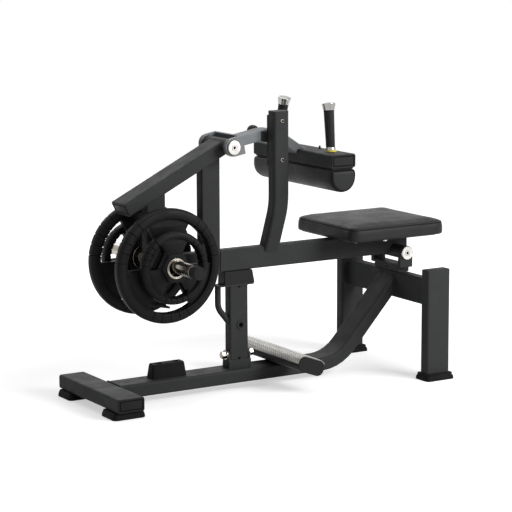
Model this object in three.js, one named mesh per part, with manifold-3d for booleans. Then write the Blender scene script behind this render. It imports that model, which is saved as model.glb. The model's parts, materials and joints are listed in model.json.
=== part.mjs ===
// Seated calf raise machine, in millimetres: a fixed base carries a swing frame that is loaded
// with plates, held up by a folding post, and pushed up by the knees under a padded arm.
// X runs from the front crossbar to the seat, Y to the far side, Z up from the floor.
import * as THREE from "three";
import { mergeVertices } from "three/addons/utils/BufferGeometryUtils.js";
import Module from "manifold-3d";

const wasm = await Module();
wasm.setup();

// Clearances and facets
const seatGap = 0.3; // between faces that touch
const runGap = 0.5; // between faces that turn or slide on each other
const overrun = 6; // how far a cutting body runs past the face it cuts
const cornerSteps = 1; // of a tube's corners
const curveSteps = 2; // of large corners
const earSteps = 4; // of rounded ears
const bendSteps = 5; // of a bent tube
const roundFacets = 20;
const smallFacets = 12;
const barFacets = 8;

// Tube stock: wide and thick outside, corner radius and wall
const frameStock = { wide: 114, thick: 55, corner: 8, wall: 3 };
const legStock = { wide: 111, thick: 50, corner: 8, wall: 3 };
const beamStock = { wide: 48, thick: 88, corner: 6, wall: 3 };
const columnStock = { wide: 83, thick: 48, corner: 6, wall: 3 };
const postStock = { wide: 84, thick: 44, corner: 6, wall: 3 };
const armStock = { wide: 84, thick: 40, corner: 6, wall: 3 };
const rackStock = { wide: 72, thick: 56, corner: 15, wall: 3 };
const stepStock = { wide: 124, thick: 62, corner: 26, wall: 3 };

// End caps
const capLip = 3;
const capLipInset = 1;
const capPlug = 14;
const capPanelInset = 9;
const capPanelDepth = 1;

// Base frame
const crossbarHalf = 250;
const footHeight = 27.5;
const footAhead = 24;
const footBehind = 4;
const footOutward = 15;
const footLong = 125;
const footTaper = 5;
const footCorner = 14;
const rearBarX = 1428;
const rearBarZ = 354.5;
const rearTrack = 621; // between the middles of the rear legs
const legTop = 454;
const bootHeight = 27;
const bootOverX = 13.5;
const bootOverY = 22;
const bootTaper = 7;
const bootCorner = 15;
const riseAngle = 47.7;
const riseRadius = 185;

// Rear pivot
const pedestalHalf = 88;
const pedestalHeight = 21;
const pedestalWall = 4;
const ventRadius = 3.5;
const clevisPlate = 10;
const clevisWide = 60;
const earThick = 19;
const rearPivotRise = 51; // of the axis above the clevis plate
const pivotTubeHalf = 87.5;
const rearPivotTubeRadius = 28;
const shaftRadius = 12.5;
const shaftCapRadius = 28.5;
const shaftCapThick = 7.5;
const shaftCapChamfer = 1.5;

// Footrest
const stepX = 852;
const stepSink = 1.5; // of its middle below the height that would just clear the base tube
const stepHalf = 270;
const stepTilt = 20;
const treadThick = 3;
const treadEndAngle = 35;

// Rubber stop under the weight hanger
const stopX = 348;
const stopLong = 144;
const stopWide = 46;
const stopHigh = 57;
const stopTaper = 5;
const stopCorner = 8;
const stopHoleRadius = 15;
const stopHoleDepth = 12;
const stopHolePitch = 76;

// Support post, which folds to the near side
const postX = 670;
const postHingeRise = 54; // of its bolt above the base tube
const bracketPlate = 6;
const bracketEar = 8;
const bracketEarFoot = 28; // half the ear's width at its foot
const bracketEarRadius = 21;
const bracketLip = 5.7;
const bracketLipHigh = 33;
const boltRadius = 8;
const boltHeadRadius = 18;
const boltHeadThick = 16;
const postCapHigh = 54;
const postPlateThick = 6;
const postPlateAhead = 56;
const postPlateOverX = 27;
const postPlateOverY = 5;
const postCapOver = 2;
const postCapTaper = 4;
const postCapCorner = 6;
const restGap = 0.6; // between the cap's crown and the beam
const postEyeRadius = 9;
const postEyeRing = 7;
const postEyeProud = 1.5;
const postEyeZ = 257;
const postEyeX = 6;
const gripBarRadius = 11;
const gripReach = 45; // from the post's face to the bar's middle
const gripLowerZ = 276;
const gripKneeZ = 330;
const gripBend = 60;

// Swing frame
const beamSink = 13; // of the beam's underside below the rear pivot
const beamTail = 60; // of the beam behind the rear pivot
const beamEndPlate = 3;
const columnX = 543.5;
const topPivotX = 598;
const topPivotZ = 983;
const topPivotTubeRadius = 30;
const slopeAngle = 26.4;
const slopeReach = 492;
const hangerX = 298;
const hangerBelow = 82; // of its foot below the horns
const hangerPlate = 3;

// Horns and plates
const hornZ = 552;
const hornRadius = 25;
const hornWall = 4;
const hornTip = 360;
const hornCapLong = 45;
const hornCapPlug = 14;
const hornCapChamfer = 3;
const hornFlangeRadius = 50;
const hornFlangeThick = 8;
const hornFlangeOut = 86.7;
const plateBore = 32;
const boreRingOuter = 40.5;
const boreRingProud = 1;
const plateThick = 48;
const largePlate = { radius: 225, rim: 42, hub: 70, web: 26 };
const smallPlate = { radius: 143, rim: 28, hub: 62, web: 26 };
const gripAngles = [30, 150, 270];
const gripHalfAngle = 31;
const gripCorner = 7;
const gripHubMargin = 3;
const ribsPerGrip = 5;
const ribSpread = 44; // degrees from the first groove to the last
const ribWidth = 4;
const ribDepth = 2.2;
const spokeSteps = 4;
const webSteps = 3;
const rimEmbed = 8;
// Rim profile: shares of the rim's width out from its inner edge, and of half the thickness
const rimShares = [
  [0, 0.62],
  [0.14, 1],
  [0.76, 0.9],
  [1, 0.34],
];

// Seat
const seatFront = 350; // ahead of the rear pivot
const seatLong = 464;
const seatHalf = 220;
const seatThick = 57;
const seatCorner = 50;
const seatCrown = 9;
const seatEdge = 14;
const seatHem = 8;
const seatBoardThick = 10;
const seatBoardInset = 18;
const seatRailThick = 6;
const seatRailWide = 44;
const seatRailHalf = 150;
const seatRailInset = 80;

// Rack post and rack
const pinDistance = 219.5;
const pinAngle = 8.65;
const rackPostOffset = 6; // of the post's middle behind the pin
const rackPlateThick = 6;
const rackPlateWide = 64;
const rackPlateUp = 79;
const rackPlateDown = 121;
const rackClear = 1.7; // between the rack plate and the arm
const rackHoleRadius = 6.8;
const rackHoleAngles = [-15, -10, -5, 0, 5, 10];
const rackPostTop = 130; // above the top pivot
const rackPostKneeZ = 735;
const rackPostFootY = -9;
const rackPostBend = 235;
const rackPostTab = 22;
const rackPostLid = 3;

// Arm
const armRise = 10.05;
const armKnee = 232;
const armKneeRadius = 100;
const yokeRadius = 36;
const yokeReach = 49;
const yokePlate = 10;
const padBarBack = 390; // of its middle behind the top pivot
const padBarDrop = 60.5; // of its middle below the top pivot
const padBarHalf = 290;
const armSinkShare = 0.5; // of the arm's thickness that its end reaches down past the pad bar's top
const padBoardThick = 4;
const padBoardInset = 9;
const padWide = 116;
const padHalf = 295;
const padDeep = 92;
const padEndRound = 12;
const padCornerShare = 0.12;
const padBellySteps = 14;
const handleY = 198;
const handleX = 2;
const handleLong = 194;
const handleLeanIn = 10.4;
const handleLeanBack = 3.6;
const handleRadius = 18;
const handleCollarRadius = 21;
const handleCollarHigh = 12;
const handleBandHigh = 5;
const handleBandProud = 1.5;
const handleCapHigh = 32;
const handleCapFoot = 19;
const handleCapRim = 25.5;
const handleCapRound = 4;
const handleCapPlug = 8;
const handleCapPlugRadius = 11;

// Pull pin
const pinRadius = 6;
const barrelRadius = 12;
const barrelLong = 38;
const knobRadius = 24;
const knobThick = 28;
const knobRound = 6;
const knobNeckRadius = 10;
const knobNeckLong = 6;

const X = new THREE.Vector3(1, 0, 0);
const Y = new THREE.Vector3(0, 1, 0);
const Z = new THREE.Vector3(0, 0, 1);
const rad = THREE.MathUtils.degToRad;

// Materials
const look = (color, roughness, metalness) => ({ color, roughness, metalness });
const blackPaint = look(0x2c2d30, 0.5, 0.35);
const greyPaint = look(0x777b80, 0.42, 0.5);
const blackPlastic = look(0x1d1e20, 0.55, 0);
const rubber = look(0x18191a, 0.8, 0);
const chrome = look(0xd9dbdd, 0.12, 1);
const brightSteel = look(0xb9bbbd, 0.3, 1);
const treadMetal = look(0xc8c9c6, 0.4, 0.9);
const vinyl = look(0x242527, 0.6, 0);
const plateRubber = look(0x2b2c2e, 0.65, 0);

// Solids: joining and cutting closed geometries
function solidOf(geometry) {
  const bare = geometry.clone();
  bare.deleteAttribute("normal");
  bare.deleteAttribute("uv");
  const merged = mergeVertices(bare);
  const made = new wasm.Mesh({
    numProp: 3,
    vertProperties: new Float32Array(merged.attributes.position.array),
    triVerts: new Uint32Array(merged.index.array),
  });
  return new wasm.Manifold(made);
}

function geometryOf(solid) {
  const mesh = solid.getMesh();
  const geometry = new THREE.BufferGeometry();
  geometry.setAttribute("position", new THREE.BufferAttribute(mesh.vertProperties, 3));
  geometry.setIndex(new THREE.BufferAttribute(mesh.triVerts, 1));
  geometry.computeVertexNormals();
  return geometry;
}

function joined(...parts) {
  return geometryOf(parts.map(solidOf).reduce((a, b) => a.add(b)));
}

function cutBy(body, ...tools) {
  return geometryOf(tools.map(solidOf).reduce((a, b) => a.subtract(b), solidOf(body)));
}

// Outlines
function roundedRect(wide, high, corner, outline = new THREE.Shape()) {
  const w = wide / 2;
  const h = high / 2;
  outline.moveTo(corner - w, -h);
  outline.lineTo(w - corner, -h);
  outline.absarc(w - corner, corner - h, corner, -Math.PI / 2, 0);
  outline.lineTo(w, h - corner);
  outline.absarc(w - corner, h - corner, corner, 0, Math.PI / 2);
  outline.lineTo(corner - w, h);
  outline.absarc(corner - w, h - corner, corner, Math.PI / 2, Math.PI);
  outline.lineTo(-w, corner - h);
  outline.absarc(corner - w, corner - h, corner, Math.PI, 1.5 * Math.PI);
  return outline;
}

function tubeSection({ wide, thick, corner, wall }) {
  const outline = roundedRect(wide, thick, corner);
  const inner = Math.max(corner - wall, wall / 2);
  outline.holes.push(roundedRect(wide - 2 * wall, thick - 2 * wall, inner, new THREE.Path()));
  return outline;
}

function solidSection({ wide, thick, corner }, grow = 0) {
  return roundedRect(wide + 2 * grow, thick + 2 * grow, corner + grow);
}

function circle(radius, facets) {
  return Array.from({ length: facets }, (_, k) => {
    const angle = (2 * Math.PI * k) / facets;
    return new THREE.Vector2(radius * Math.cos(angle), radius * Math.sin(angle));
  });
}

// Prisms: an outline drawn across X, Y or Z, from one end to the other
function prismY(outline, from, to, curveSegments = cornerSteps) {
  const made = new THREE.ExtrudeGeometry(outline, {
    depth: to - from,
    bevelEnabled: false,
    curveSegments,
  });
  return made.rotateX(Math.PI / 2).translate(0, to, 0);
}

function prismX(outline, from, to, curveSegments = cornerSteps) {
  const made = new THREE.ExtrudeGeometry(outline, {
    depth: to - from,
    bevelEnabled: false,
    curveSegments,
  });
  return made.applyMatrix4(new THREE.Matrix4().makeBasis(Y, Z, X)).translate(from, 0, 0);
}

function prismZ(outline, from, to, curveSegments = cornerSteps) {
  const made = new THREE.ExtrudeGeometry(outline, {
    depth: to - from,
    bevelEnabled: false,
    curveSegments,
  });
  return made.translate(0, 0, from);
}

function block(low, high) {
  const size = high.map((value, i) => value - low[i]);
  const middle = high.map((value, i) => (value + low[i]) / 2);
  return new THREE.BoxGeometry(...size).translate(...middle);
}

// Turned pieces about the Y axis, from [radius, place] pairs
function turnedY(profile, facets = roundFacets) {
  const points = profile.map(([radius, place]) => new THREE.Vector2(radius, place));
  if (THREE.ShapeUtils.isClockWise(points)) points.reverse();
  if (profile.some(([radius]) => radius === 0)) {
    const first = points.findIndex((p, i) => p.x === 0 && points.at(i - 1).x === 0);
    points.push(...points.splice(0, first));
  } else {
    points.push(points[0].clone());
  }
  return new THREE.LatheGeometry(points, facets);
}

function turnedX(profile, facets) {
  return turnedY(profile, facets).rotateZ(-Math.PI / 2);
}

function turnedZ(profile, facets) {
  return turnedY(profile, facets).rotateX(Math.PI / 2);
}

function rodY(radius, from, to, facets = roundFacets) {
  const made = new THREE.CylinderGeometry(radius, radius, to - from, facets);
  return made.translate(0, (from + to) / 2, 0);
}

function rodX(radius, from, to, facets = roundFacets) {
  const made = new THREE.CylinderGeometry(radius, radius, to - from, facets);
  return made.rotateZ(-Math.PI / 2).translate((from + to) / 2, 0, 0);
}

function rodZ(radius, from, to, facets = roundFacets) {
  const made = new THREE.CylinderGeometry(radius, radius, to - from, facets);
  return made.rotateX(Math.PI / 2).translate(0, 0, (from + to) / 2);
}

// A route of straight runs and round bends, as stations with a place and a direction
function routeOf(corners, radii) {
  const runs = corners.slice(1).map((p, i) => p.clone().sub(corners[i]).normalize());
  const stations = [{ at: corners[0].clone(), along: runs[0] }];
  for (let i = 1; i < corners.length - 1; i++) {
    const before = runs[i - 1];
    const after = runs[i];
    const turn = before.angleTo(after);
    const radius = radii[i - 1];
    const inward = after.clone().addScaledVector(before, -Math.cos(turn)).normalize();
    const start = corners[i].clone().addScaledVector(before, -radius * Math.tan(turn / 2));
    for (let k = 0; k <= bendSteps; k++) {
      const angle = (turn * k) / bendSteps;
      const at = start.clone();
      at.addScaledVector(before, radius * Math.sin(angle));
      at.addScaledVector(inward, radius * (1 - Math.cos(angle)));
      const along = before.clone().multiplyScalar(Math.cos(angle));
      along.addScaledVector(inward, Math.sin(angle));
      stations.push({ at, along });
    }
  }
  stations.push({ at: corners.at(-1).clone(), along: runs.at(-1) });
  return stations;
}

// An outline carried along a route; an end can lie along a given direction instead of square
function swept(outline, stations, across, lie = {}, curveSegments = cornerSteps) {
  const last = stations.length - 1;
  const made = new THREE.ExtrudeGeometry(outline, {
    depth: last,
    steps: last,
    bevelEnabled: false,
    curveSegments,
  });
  const place = made.attributes.position;
  const point = new THREE.Vector3();
  for (let i = 0; i < place.count; i++) {
    const index = Math.round(place.getZ(i));
    const { at, along } = stations[index];
    const up = along.clone().cross(across);
    const slant = index === 0 ? lie.start : index === last ? lie.end : undefined;
    const rise = slant ? slant.clone().divideScalar(slant.dot(up)) : up;
    point.copy(at).addScaledVector(across, place.getX(i)).addScaledVector(rise, place.getY(i));
    place.setXYZ(i, point.x, point.y, point.z);
  }
  return made;
}

// A closed skin over rings that all have the same number of points
function skinned(rings) {
  const count = rings[0].length;
  const places = rings.flat();
  const faces = [];
  for (let k = 0; k < rings.length - 1; k++) {
    for (let i = 0; i < count; i++) {
      const a = k * count + i;
      const b = k * count + ((i + 1) % count);
      faces.push(a, b, b + count, a, b + count, a + count);
    }
  }
  const lidded = (ring, order) => {
    const middle = ring.reduce((sum, p) => sum.add(p), new THREE.Vector3()).divideScalar(count);
    const centre = places.push(middle) - 1;
    const first = order > 0 ? (rings.length - 1) * count : 0;
    for (let i = 0; i < count; i++) {
      const a = first + i;
      const b = first + ((i + 1) % count);
      faces.push(centre, ...(order > 0 ? [a, b] : [b, a]));
    }
  };
  lidded(rings[0], -1);
  lidded(rings.at(-1), 1);
  const geometry = new THREE.BufferGeometry().setFromPoints(places);
  geometry.setIndex(faces);
  geometry.computeVertexNormals();
  return geometry;
}

// A ring-shaped solid: closed sections set one after another round a circle
function looped(rings) {
  const count = rings[0].length;
  const faces = [];
  rings.forEach((_, k) => {
    for (let i = 0; i < count; i++) {
      const next = (k + 1) % rings.length;
      const a = k * count + i;
      const b = k * count + ((i + 1) % count);
      const c = next * count + ((i + 1) % count);
      const d = next * count + i;
      faces.push(a, b, c, a, c, d);
    }
  });
  const geometry = new THREE.BufferGeometry().setFromPoints(rings.flat());
  geometry.setIndex(faces);
  geometry.computeVertexNormals();
  return geometry;
}

// A level ring of a rounded rectangle, drawn in from the full size by an inset
function levelRing(wide, deep, corner, inset, z, perCorner = 3) {
  const radius = Math.max(corner - inset, corner / 4);
  const w = wide / 2 - inset - radius;
  const d = deep / 2 - inset - radius;
  const quarters = [[-1, -1], [1, -1], [1, 1], [-1, 1]];
  return quarters.flatMap(([sx, sy], quarter) =>
    Array.from({ length: perCorner + 1 }, (_, k) => {
      const angle = Math.PI + ((quarter + k / perCorner) * Math.PI) / 2;
      const x = sx * w + radius * Math.cos(angle);
      const y = sy * d + radius * Math.sin(angle);
      return new THREE.Vector3(x, y, z);
    }),
  );
}

// A plastic cap in a tube's end: a plug, a lip and a sunk panel, with its face towards +Z
function tubeCap(stock, curveSegments = cornerSteps) {
  const plugStock = {
    wide: stock.wide - 2 * (stock.wall + seatGap),
    thick: stock.thick - 2 * (stock.wall + seatGap),
    corner: Math.max(stock.corner - stock.wall, stock.wall / 2),
  };
  const plug = prismZ(solidSection(plugStock), -capPlug, seatGap + capLip / 2, curveSegments);
  const lipFace = seatGap + capLip;
  const lip = prismZ(solidSection(stock, -capLipInset), seatGap, lipFace, curveSegments);
  const panel = prismZ(
    solidSection(stock, -Math.min(capPanelInset, stock.corner - stock.corner / 4)),
    lipFace - capPanelDepth,
    lipFace + overrun,
    curveSegments,
  );
  return cutBy(joined(plug, lip), panel);
}

function facing(geometry, out, up, place) {
  const across = up.clone().cross(out);
  const turned = geometry.clone().applyMatrix4(new THREE.Matrix4().makeBasis(across, up, out));
  return turned.translate(...place);
}

// The scene graph
const machine = new THREE.Group();

function group(parent, place = [0, 0, 0]) {
  const made = new THREE.Group();
  made.position.set(...place);
  parent.add(made);
  return made;
}

function piece(parent, name, geometry, finish, place = [0, 0, 0]) {
  const mesh = new THREE.Mesh(geometry, new THREE.MeshStandardMaterial(finish));
  mesh.name = name;
  mesh.position.set(...place);
  parent.add(mesh);
  return mesh;
}

const sides = [
  { side: -1, word: "near" },
  { side: 1, word: "far" },
];

// Places that several pieces share
const baseZ = footHeight + frameStock.thick / 2;
const baseTop = footHeight + frameStock.thick;
const rearBarFront = rearBarX - legStock.thick / 2;
const rearBarTop = rearBarZ + legStock.wide / 2;
const clevisTop = rearBarTop + seatGap + pedestalHeight + clevisPlate;
const rearPivotZ = clevisTop + rearPivotRise;
const earInner = pivotTubeHalf + runGap;
const earOuter = earInner + earThick;
const beamBottom = rearPivotZ - beamSink;
const beamTop = beamBottom + beamStock.thick;
const beamZ = (beamBottom + beamTop) / 2;
const beamEnd = rearBarX + beamTail;
const columnRear = columnX + columnStock.wide / 2;
const slope = new THREE.Vector3(Math.cos(rad(slopeAngle)), 0, Math.sin(rad(slopeAngle)));
const hornFoot = columnStock.thick / 2 + seatGap;

const base = group(machine);
const post = group(machine);
const swing = group(machine);
const arm = group(swing, [topPivotX, 0, topPivotZ]);
const pin = group(arm);

// Front crossbar, its caps and its feet
const barMiddle = frameStock.wide / 2;
const barPlace = [barMiddle, 0, baseZ];
piece(
  base,
  "front_crossbar",
  prismY(tubeSection(frameStock), -crossbarHalf, crossbarHalf),
  blackPaint,
  barPlace,
);
for (const { side, word } of sides) {
  const out = Y.clone().multiplyScalar(side);
  const cap = facing(tubeCap(frameStock), out, Z, [0, side * crossbarHalf, 0]);
  piece(base, `front_crossbar_cap_${word}`, cap, blackPlastic, barPlace);
  const wide = frameStock.wide + footAhead + footBehind;
  const footTop = footHeight - seatGap;
  const foot = skinned([
    levelRing(wide, footLong, footCorner, 0, 0),
    levelRing(wide, footLong, footCorner, footTaper / 2, footTop / 2),
    levelRing(wide, footLong, footCorner, footTaper, footTop),
  ]);
  const footX = barMiddle + (footBehind - footAhead) / 2;
  const footY = side * (crossbarHalf + footOutward - footLong / 2);
  piece(base, `front_foot_${word}`, foot, rubber, [footX, footY, 0]);
}

// Base tube: level from the crossbar, then up to the rear crossbar
const rise = new THREE.Vector3(Math.cos(rad(riseAngle)), 0, Math.sin(rad(riseAngle)));
const riseEnd = new THREE.Vector3(rearBarFront - seatGap, 0, rearBarZ);
const riseFoot = riseEnd.clone().addScaledVector(rise, (baseZ - rearBarZ) / rise.z);
const baseRoute = routeOf(
  [new THREE.Vector3(frameStock.wide + seatGap, 0, baseZ), riseFoot, riseEnd],
  [riseRadius],
);
piece(base, "base_tube", swept(tubeSection(frameStock), baseRoute, Y, { end: Z }), blackPaint);

// Rear crossbar, legs and boots
const legHalf = rearTrack / 2;
const rearBarHalf = legHalf - legStock.thick / 2 - seatGap;
const rearStock = { ...legStock, wide: legStock.thick, thick: legStock.wide };
piece(
  base,
  "rear_crossbar",
  prismY(tubeSection(rearStock), -rearBarHalf, rearBarHalf),
  blackPaint,
  [rearBarX, 0, rearBarZ],
);
for (const { side, word } of sides) {
  const legPlace = [rearBarX, side * legHalf, 0];
  const lid = prismZ(solidSection(legStock), legTop - legStock.wall, legTop);
  const leg = joined(
    prismZ(tubeSection(legStock), bootHeight + seatGap, legTop - legStock.wall / 2),
    lid,
  );
  piece(base, `rear_leg_${word}`, leg, blackPaint, legPlace);
  const wide = legStock.wide + 2 * bootOverX;
  const deep = legStock.thick + 2 * bootOverY;
  const boot = skinned([
    levelRing(wide, deep, bootCorner, 0, 0),
    levelRing(wide, deep, bootCorner, bootTaper / 4, bootHeight / 2),
    levelRing(wide, deep, bootCorner, bootTaper, (bootHeight * 2) / 3),
    levelRing(wide, deep, bootCorner, bootTaper, bootHeight),
  ]);
  piece(base, `rear_boot_${word}`, boot, rubber, legPlace);
}

// Rear clevis on its pedestal, with the fixed shaft and its bright caps
const pedestalLow = rearBarTop + seatGap;
const pedestalTop = pedestalLow + pedestalHeight;
const pedestalX = legStock.thick / 2;
const pedestal = cutBy(
  block([-pedestalX, -pedestalHalf, pedestalLow], [pedestalX, pedestalHalf, pedestalTop]),
  block(
    [pedestalWall - pedestalX, pedestalWall - pedestalHalf, pedestalLow - overrun],
    [pedestalX - pedestalWall, pedestalHalf - pedestalWall, pedestalTop - pedestalWall],
  ),
  rodX(ventRadius, -pedestalX - overrun, 0, smallFacets).translate(
    0,
    0,
    (pedestalLow + pedestalTop) / 2,
  ),
);
const clevisEar = new THREE.Shape();
clevisEar.moveTo(-clevisWide / 2, clevisTop - clevisPlate / 2);
clevisEar.lineTo(clevisWide / 2, clevisTop - clevisPlate / 2);
clevisEar.lineTo(clevisWide / 2, rearPivotZ);
clevisEar.absarc(0, rearPivotZ, clevisWide / 2, 0, Math.PI);
const shaftBore = rodY(shaftRadius + seatGap, -earOuter - overrun, earOuter + overrun);
const clevis = cutBy(
  joined(
    pedestal,
    block(
      [-clevisWide / 2, -earOuter, clevisTop - clevisPlate],
      [clevisWide / 2, earOuter, clevisTop],
    ),
    prismY(clevisEar, -earOuter, -earInner, earSteps),
    prismY(clevisEar, earInner, earOuter, earSteps),
  ),
  shaftBore.clone().translate(0, 0, rearPivotZ),
);
piece(base, "rear_clevis", clevis, blackPaint, [rearBarX, 0, 0]);

// A shaft with one bright cap fixed to it and one on its far end, both outside the ears
const capInner = earOuter + seatGap;
const capOuter = capInner + shaftCapThick;
const shaftWithCap = turnedY([
  [0, -capOuter],
  [shaftCapRadius - shaftCapChamfer, -capOuter],
  [shaftCapRadius, shaftCapChamfer - capOuter],
  [shaftCapRadius, -capInner],
  [shaftRadius, -capInner],
  [shaftRadius, earOuter],
  [0, earOuter],
]);
const farCap = turnedY([
  [0, capOuter],
  [shaftCapRadius - shaftCapChamfer, capOuter],
  [shaftCapRadius, capOuter - shaftCapChamfer],
  [shaftCapRadius, capInner],
  [0, capInner],
]);
const rearPivotPlace = [rearBarX, 0, rearPivotZ];
piece(base, "rear_pivot_shaft", shaftWithCap, chrome, rearPivotPlace);
piece(base, "rear_pivot_cap", farCap, chrome, rearPivotPlace);

// Footrest tube across the base tube, with its tread and caps
const stepTurn = new THREE.Matrix4().makeRotationY(rad(stepTilt));
const stepZ = baseTop + stepStock.thick / 2 - stepSink;
const baseBlock = prismX(
  solidSection(frameStock, seatGap),
  stepX - stepStock.wide,
  stepX + stepStock.wide,
).translate(0, 0, baseZ);
const stepTube = prismY(tubeSection(stepStock), -stepHalf, stepHalf, curveSteps);
stepTube.applyMatrix4(stepTurn).translate(stepX, 0, stepZ);
piece(base, "footrest_tube", cutBy(stepTube, baseBlock), blackPaint);

function treadPath(offset) {
  const w = stepStock.wide / 2;
  const h = stepStock.thick / 2;
  const c = stepStock.corner;
  const path = new THREE.Path();
  path.moveTo(-w - offset, c - h);
  path.lineTo(-w - offset, h - c);
  path.absarc(c - w, h - c, c + offset, Math.PI, Math.PI / 2, true);
  path.lineTo(w - c, h + offset);
  path.absarc(w - c, h - c, c + offset, Math.PI / 2, rad(treadEndAngle), true);
  return path.getPoints(curveSteps);
}
const treadOutline = new THREE.Shape([
  ...treadPath(seatGap + treadThick),
  ...treadPath(seatGap).reverse(),
]);
const tread = prismY(treadOutline, -stepHalf, stepHalf, curveSteps);
tread.applyMatrix4(stepTurn).translate(stepX, 0, stepZ);
piece(base, "footrest_tread", tread, treadMetal);
for (const { side, word } of sides) {
  const out = Y.clone().multiplyScalar(side);
  const cap = facing(tubeCap(stepStock, curveSteps), out, Z, [0, side * stepHalf, 0]);
  cap.applyMatrix4(stepTurn);
  piece(base, `footrest_cap_${word}`, cap, blackPlastic, [stepX, 0, stepZ]);
}

// Rubber stop on the base tube
const stopLow = baseTop + seatGap;
const stopTop = stopLow + stopHigh;
const stopHole = (at) =>
  rodZ(stopHoleRadius, stopTop - stopHoleDepth, stopTop + overrun, smallFacets).translate(at, 0, 0);
const stopBlock = skinned([
  levelRing(stopLong, stopWide, stopCorner, 0, stopLow),
  levelRing(stopLong, stopWide, stopCorner, stopTaper / 2, stopTop - stopTaper),
  levelRing(stopLong, stopWide, stopCorner, stopTaper, stopTop),
]);
piece(
  base,
  "stop_bumper",
  cutBy(stopBlock, stopHole(-stopHolePitch / 2), stopHole(stopHolePitch / 2)),
  rubber,
  [stopX, 0, 0],
);

// Bracket that carries the support post, with the bolt it turns on
const postHingeZ = baseTop + postHingeRise;
const bracketLow = baseTop + seatGap;
const bracketTop = bracketLow + bracketPlate;
const earNear = postStock.wide / 2 + runGap;
const earFar = earNear + bracketEar;
const lipInner = postStock.thick / 2 + runGap;
const lipOuter = lipInner + bracketLip;
const bracketHalf = Math.max(bracketEarFoot, lipOuter);
const bracketEarShape = new THREE.Shape();
const earFootZ = bracketLow + bracketPlate / 2;
const earDrop = postHingeZ - earFootZ;
const earLean =
  Math.acos(bracketEarRadius / Math.hypot(bracketEarFoot, earDrop)) -
  Math.atan2(earDrop, bracketEarFoot);
bracketEarShape.moveTo(-bracketEarFoot, earFootZ);
bracketEarShape.lineTo(bracketEarFoot, earFootZ);
bracketEarShape.absarc(0, postHingeZ, bracketEarRadius, earLean, Math.PI - earLean);
const boltBore = rodX(boltRadius + runGap, -earFar - overrun, earFar + overrun);
const bracket = cutBy(
  joined(
    block([-earFar, -bracketHalf, bracketLow], [earFar, bracketHalf, bracketTop]),
    prismX(bracketEarShape, -earFar, -earNear, earSteps),
    prismX(bracketEarShape, earNear, earFar, earSteps),
    block([-earFar, -lipOuter, bracketLow], [earFar, -lipInner, bracketLow + bracketLipHigh]),
  ),
  boltBore.clone().translate(0, 0, postHingeZ),
);
piece(base, "post_bracket", bracket, blackPaint, [postX, 0, 0]);

const boltEnd = earFar + seatGap + boltHeadThick;
const bolt = turnedX([
  [0, -boltEnd],
  [boltHeadRadius, -boltEnd],
  [boltHeadRadius, -earFar - seatGap],
  [boltRadius, -earFar - seatGap],
  [boltRadius, boltEnd],
  [0, boltEnd],
]);
piece(base, "post_pivot_bolt", bolt, chrome, [postX, 0, postHingeZ]);
const nut = cutBy(
  rodX(boltHeadRadius, earFar + seatGap, boltEnd - seatGap, 6),
  rodX(boltRadius + seatGap, earFar, boltEnd + overrun),
);
piece(base, "post_pivot_nut", nut, brightSteel, [postX, 0, postHingeZ]);

// Support post: its foot clears the bracket as it folds, and its crown clears the beam
const footSwing = postHingeZ - bracketTop - 2 * runGap;
const postFoot = postHingeZ - Math.sqrt(footSwing ** 2 - (postStock.thick / 2) ** 2);
const crownRadius = beamBottom - postHingeZ - restGap;
const postPlateTop = postHingeZ + crownRadius - postCapHigh - seatGap;
const postTop = postPlateTop - postPlateThick;
const postNear = -postStock.thick / 2;
const postTube = prismZ(tubeSection(postStock), postFoot, postPlateTop - postPlateThick / 2);
const postPlate = prismZ(
  roundedRect(
    postStock.wide + postPlateAhead + postPlateOverX,
    postStock.thick + 2 * postPlateOverY,
    postCapCorner,
  ),
  postTop,
  postPlateTop,
).translate((postPlateOverX - postPlateAhead) / 2, 0, 0);
const eyePlace = [postEyeX, 0, postEyeZ];
const eyeRing = rodY(
  postEyeRadius + postEyeRing,
  postNear - postEyeProud,
  postNear + postStock.wall / 2,
  smallFacets,
).translate(...eyePlace);
const eyeHole = rodY(
  postEyeRadius,
  postNear - overrun,
  postNear + postStock.wall + overrun,
  smallFacets,
).translate(...eyePlace);
piece(
  post,
  "support_post",
  cutBy(
    joined(postTube, postPlate, eyeRing),
    eyeHole,
    boltBore.clone().translate(0, 0, postHingeZ),
  ),
  blackPaint,
  [postX, 0, 0],
);

const crownZ = (y) => postHingeZ + Math.sqrt(crownRadius ** 2 - y ** 2);
const capWide = postStock.wide + 2 * (postPlateOverX + postCapOver);
const capDeep = postStock.thick + 2 * (postPlateOverY + postCapOver);
const crowned = (inset, drop) =>
  levelRing(capWide, capDeep, postCapCorner, inset, 0).map((p) => p.setZ(crownZ(p.y) - drop));
const postCap = skinned([
  levelRing(capWide, capDeep, postCapCorner, 0, postPlateTop + seatGap),
  crowned(postCapTaper / 2, postCapTaper / 2),
  crowned(postCapTaper, 0),
  crowned(capDeep / 4, 0),
]);
piece(post, "post_cap", postCap, rubber, [postX, 0, 0]);

// The bar hangs from the plate under the cap and leans back into the post's front face
const gripFace = -postStock.wide / 2 - seatGap;
const gripRoute = routeOf(
  [
    new THREE.Vector3(gripFace - gripReach, 0, postTop - seatGap),
    new THREE.Vector3(gripFace - gripReach, 0, gripKneeZ),
    new THREE.Vector3(gripFace, 0, gripLowerZ),
  ],
  [gripBend],
);
const barOutline = new THREE.Shape(circle(gripBarRadius, barFacets));
piece(post, "post_handle", swept(barOutline, gripRoute, Y, { end: Z }), blackPaint, [postX, 0, 0]);

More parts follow.
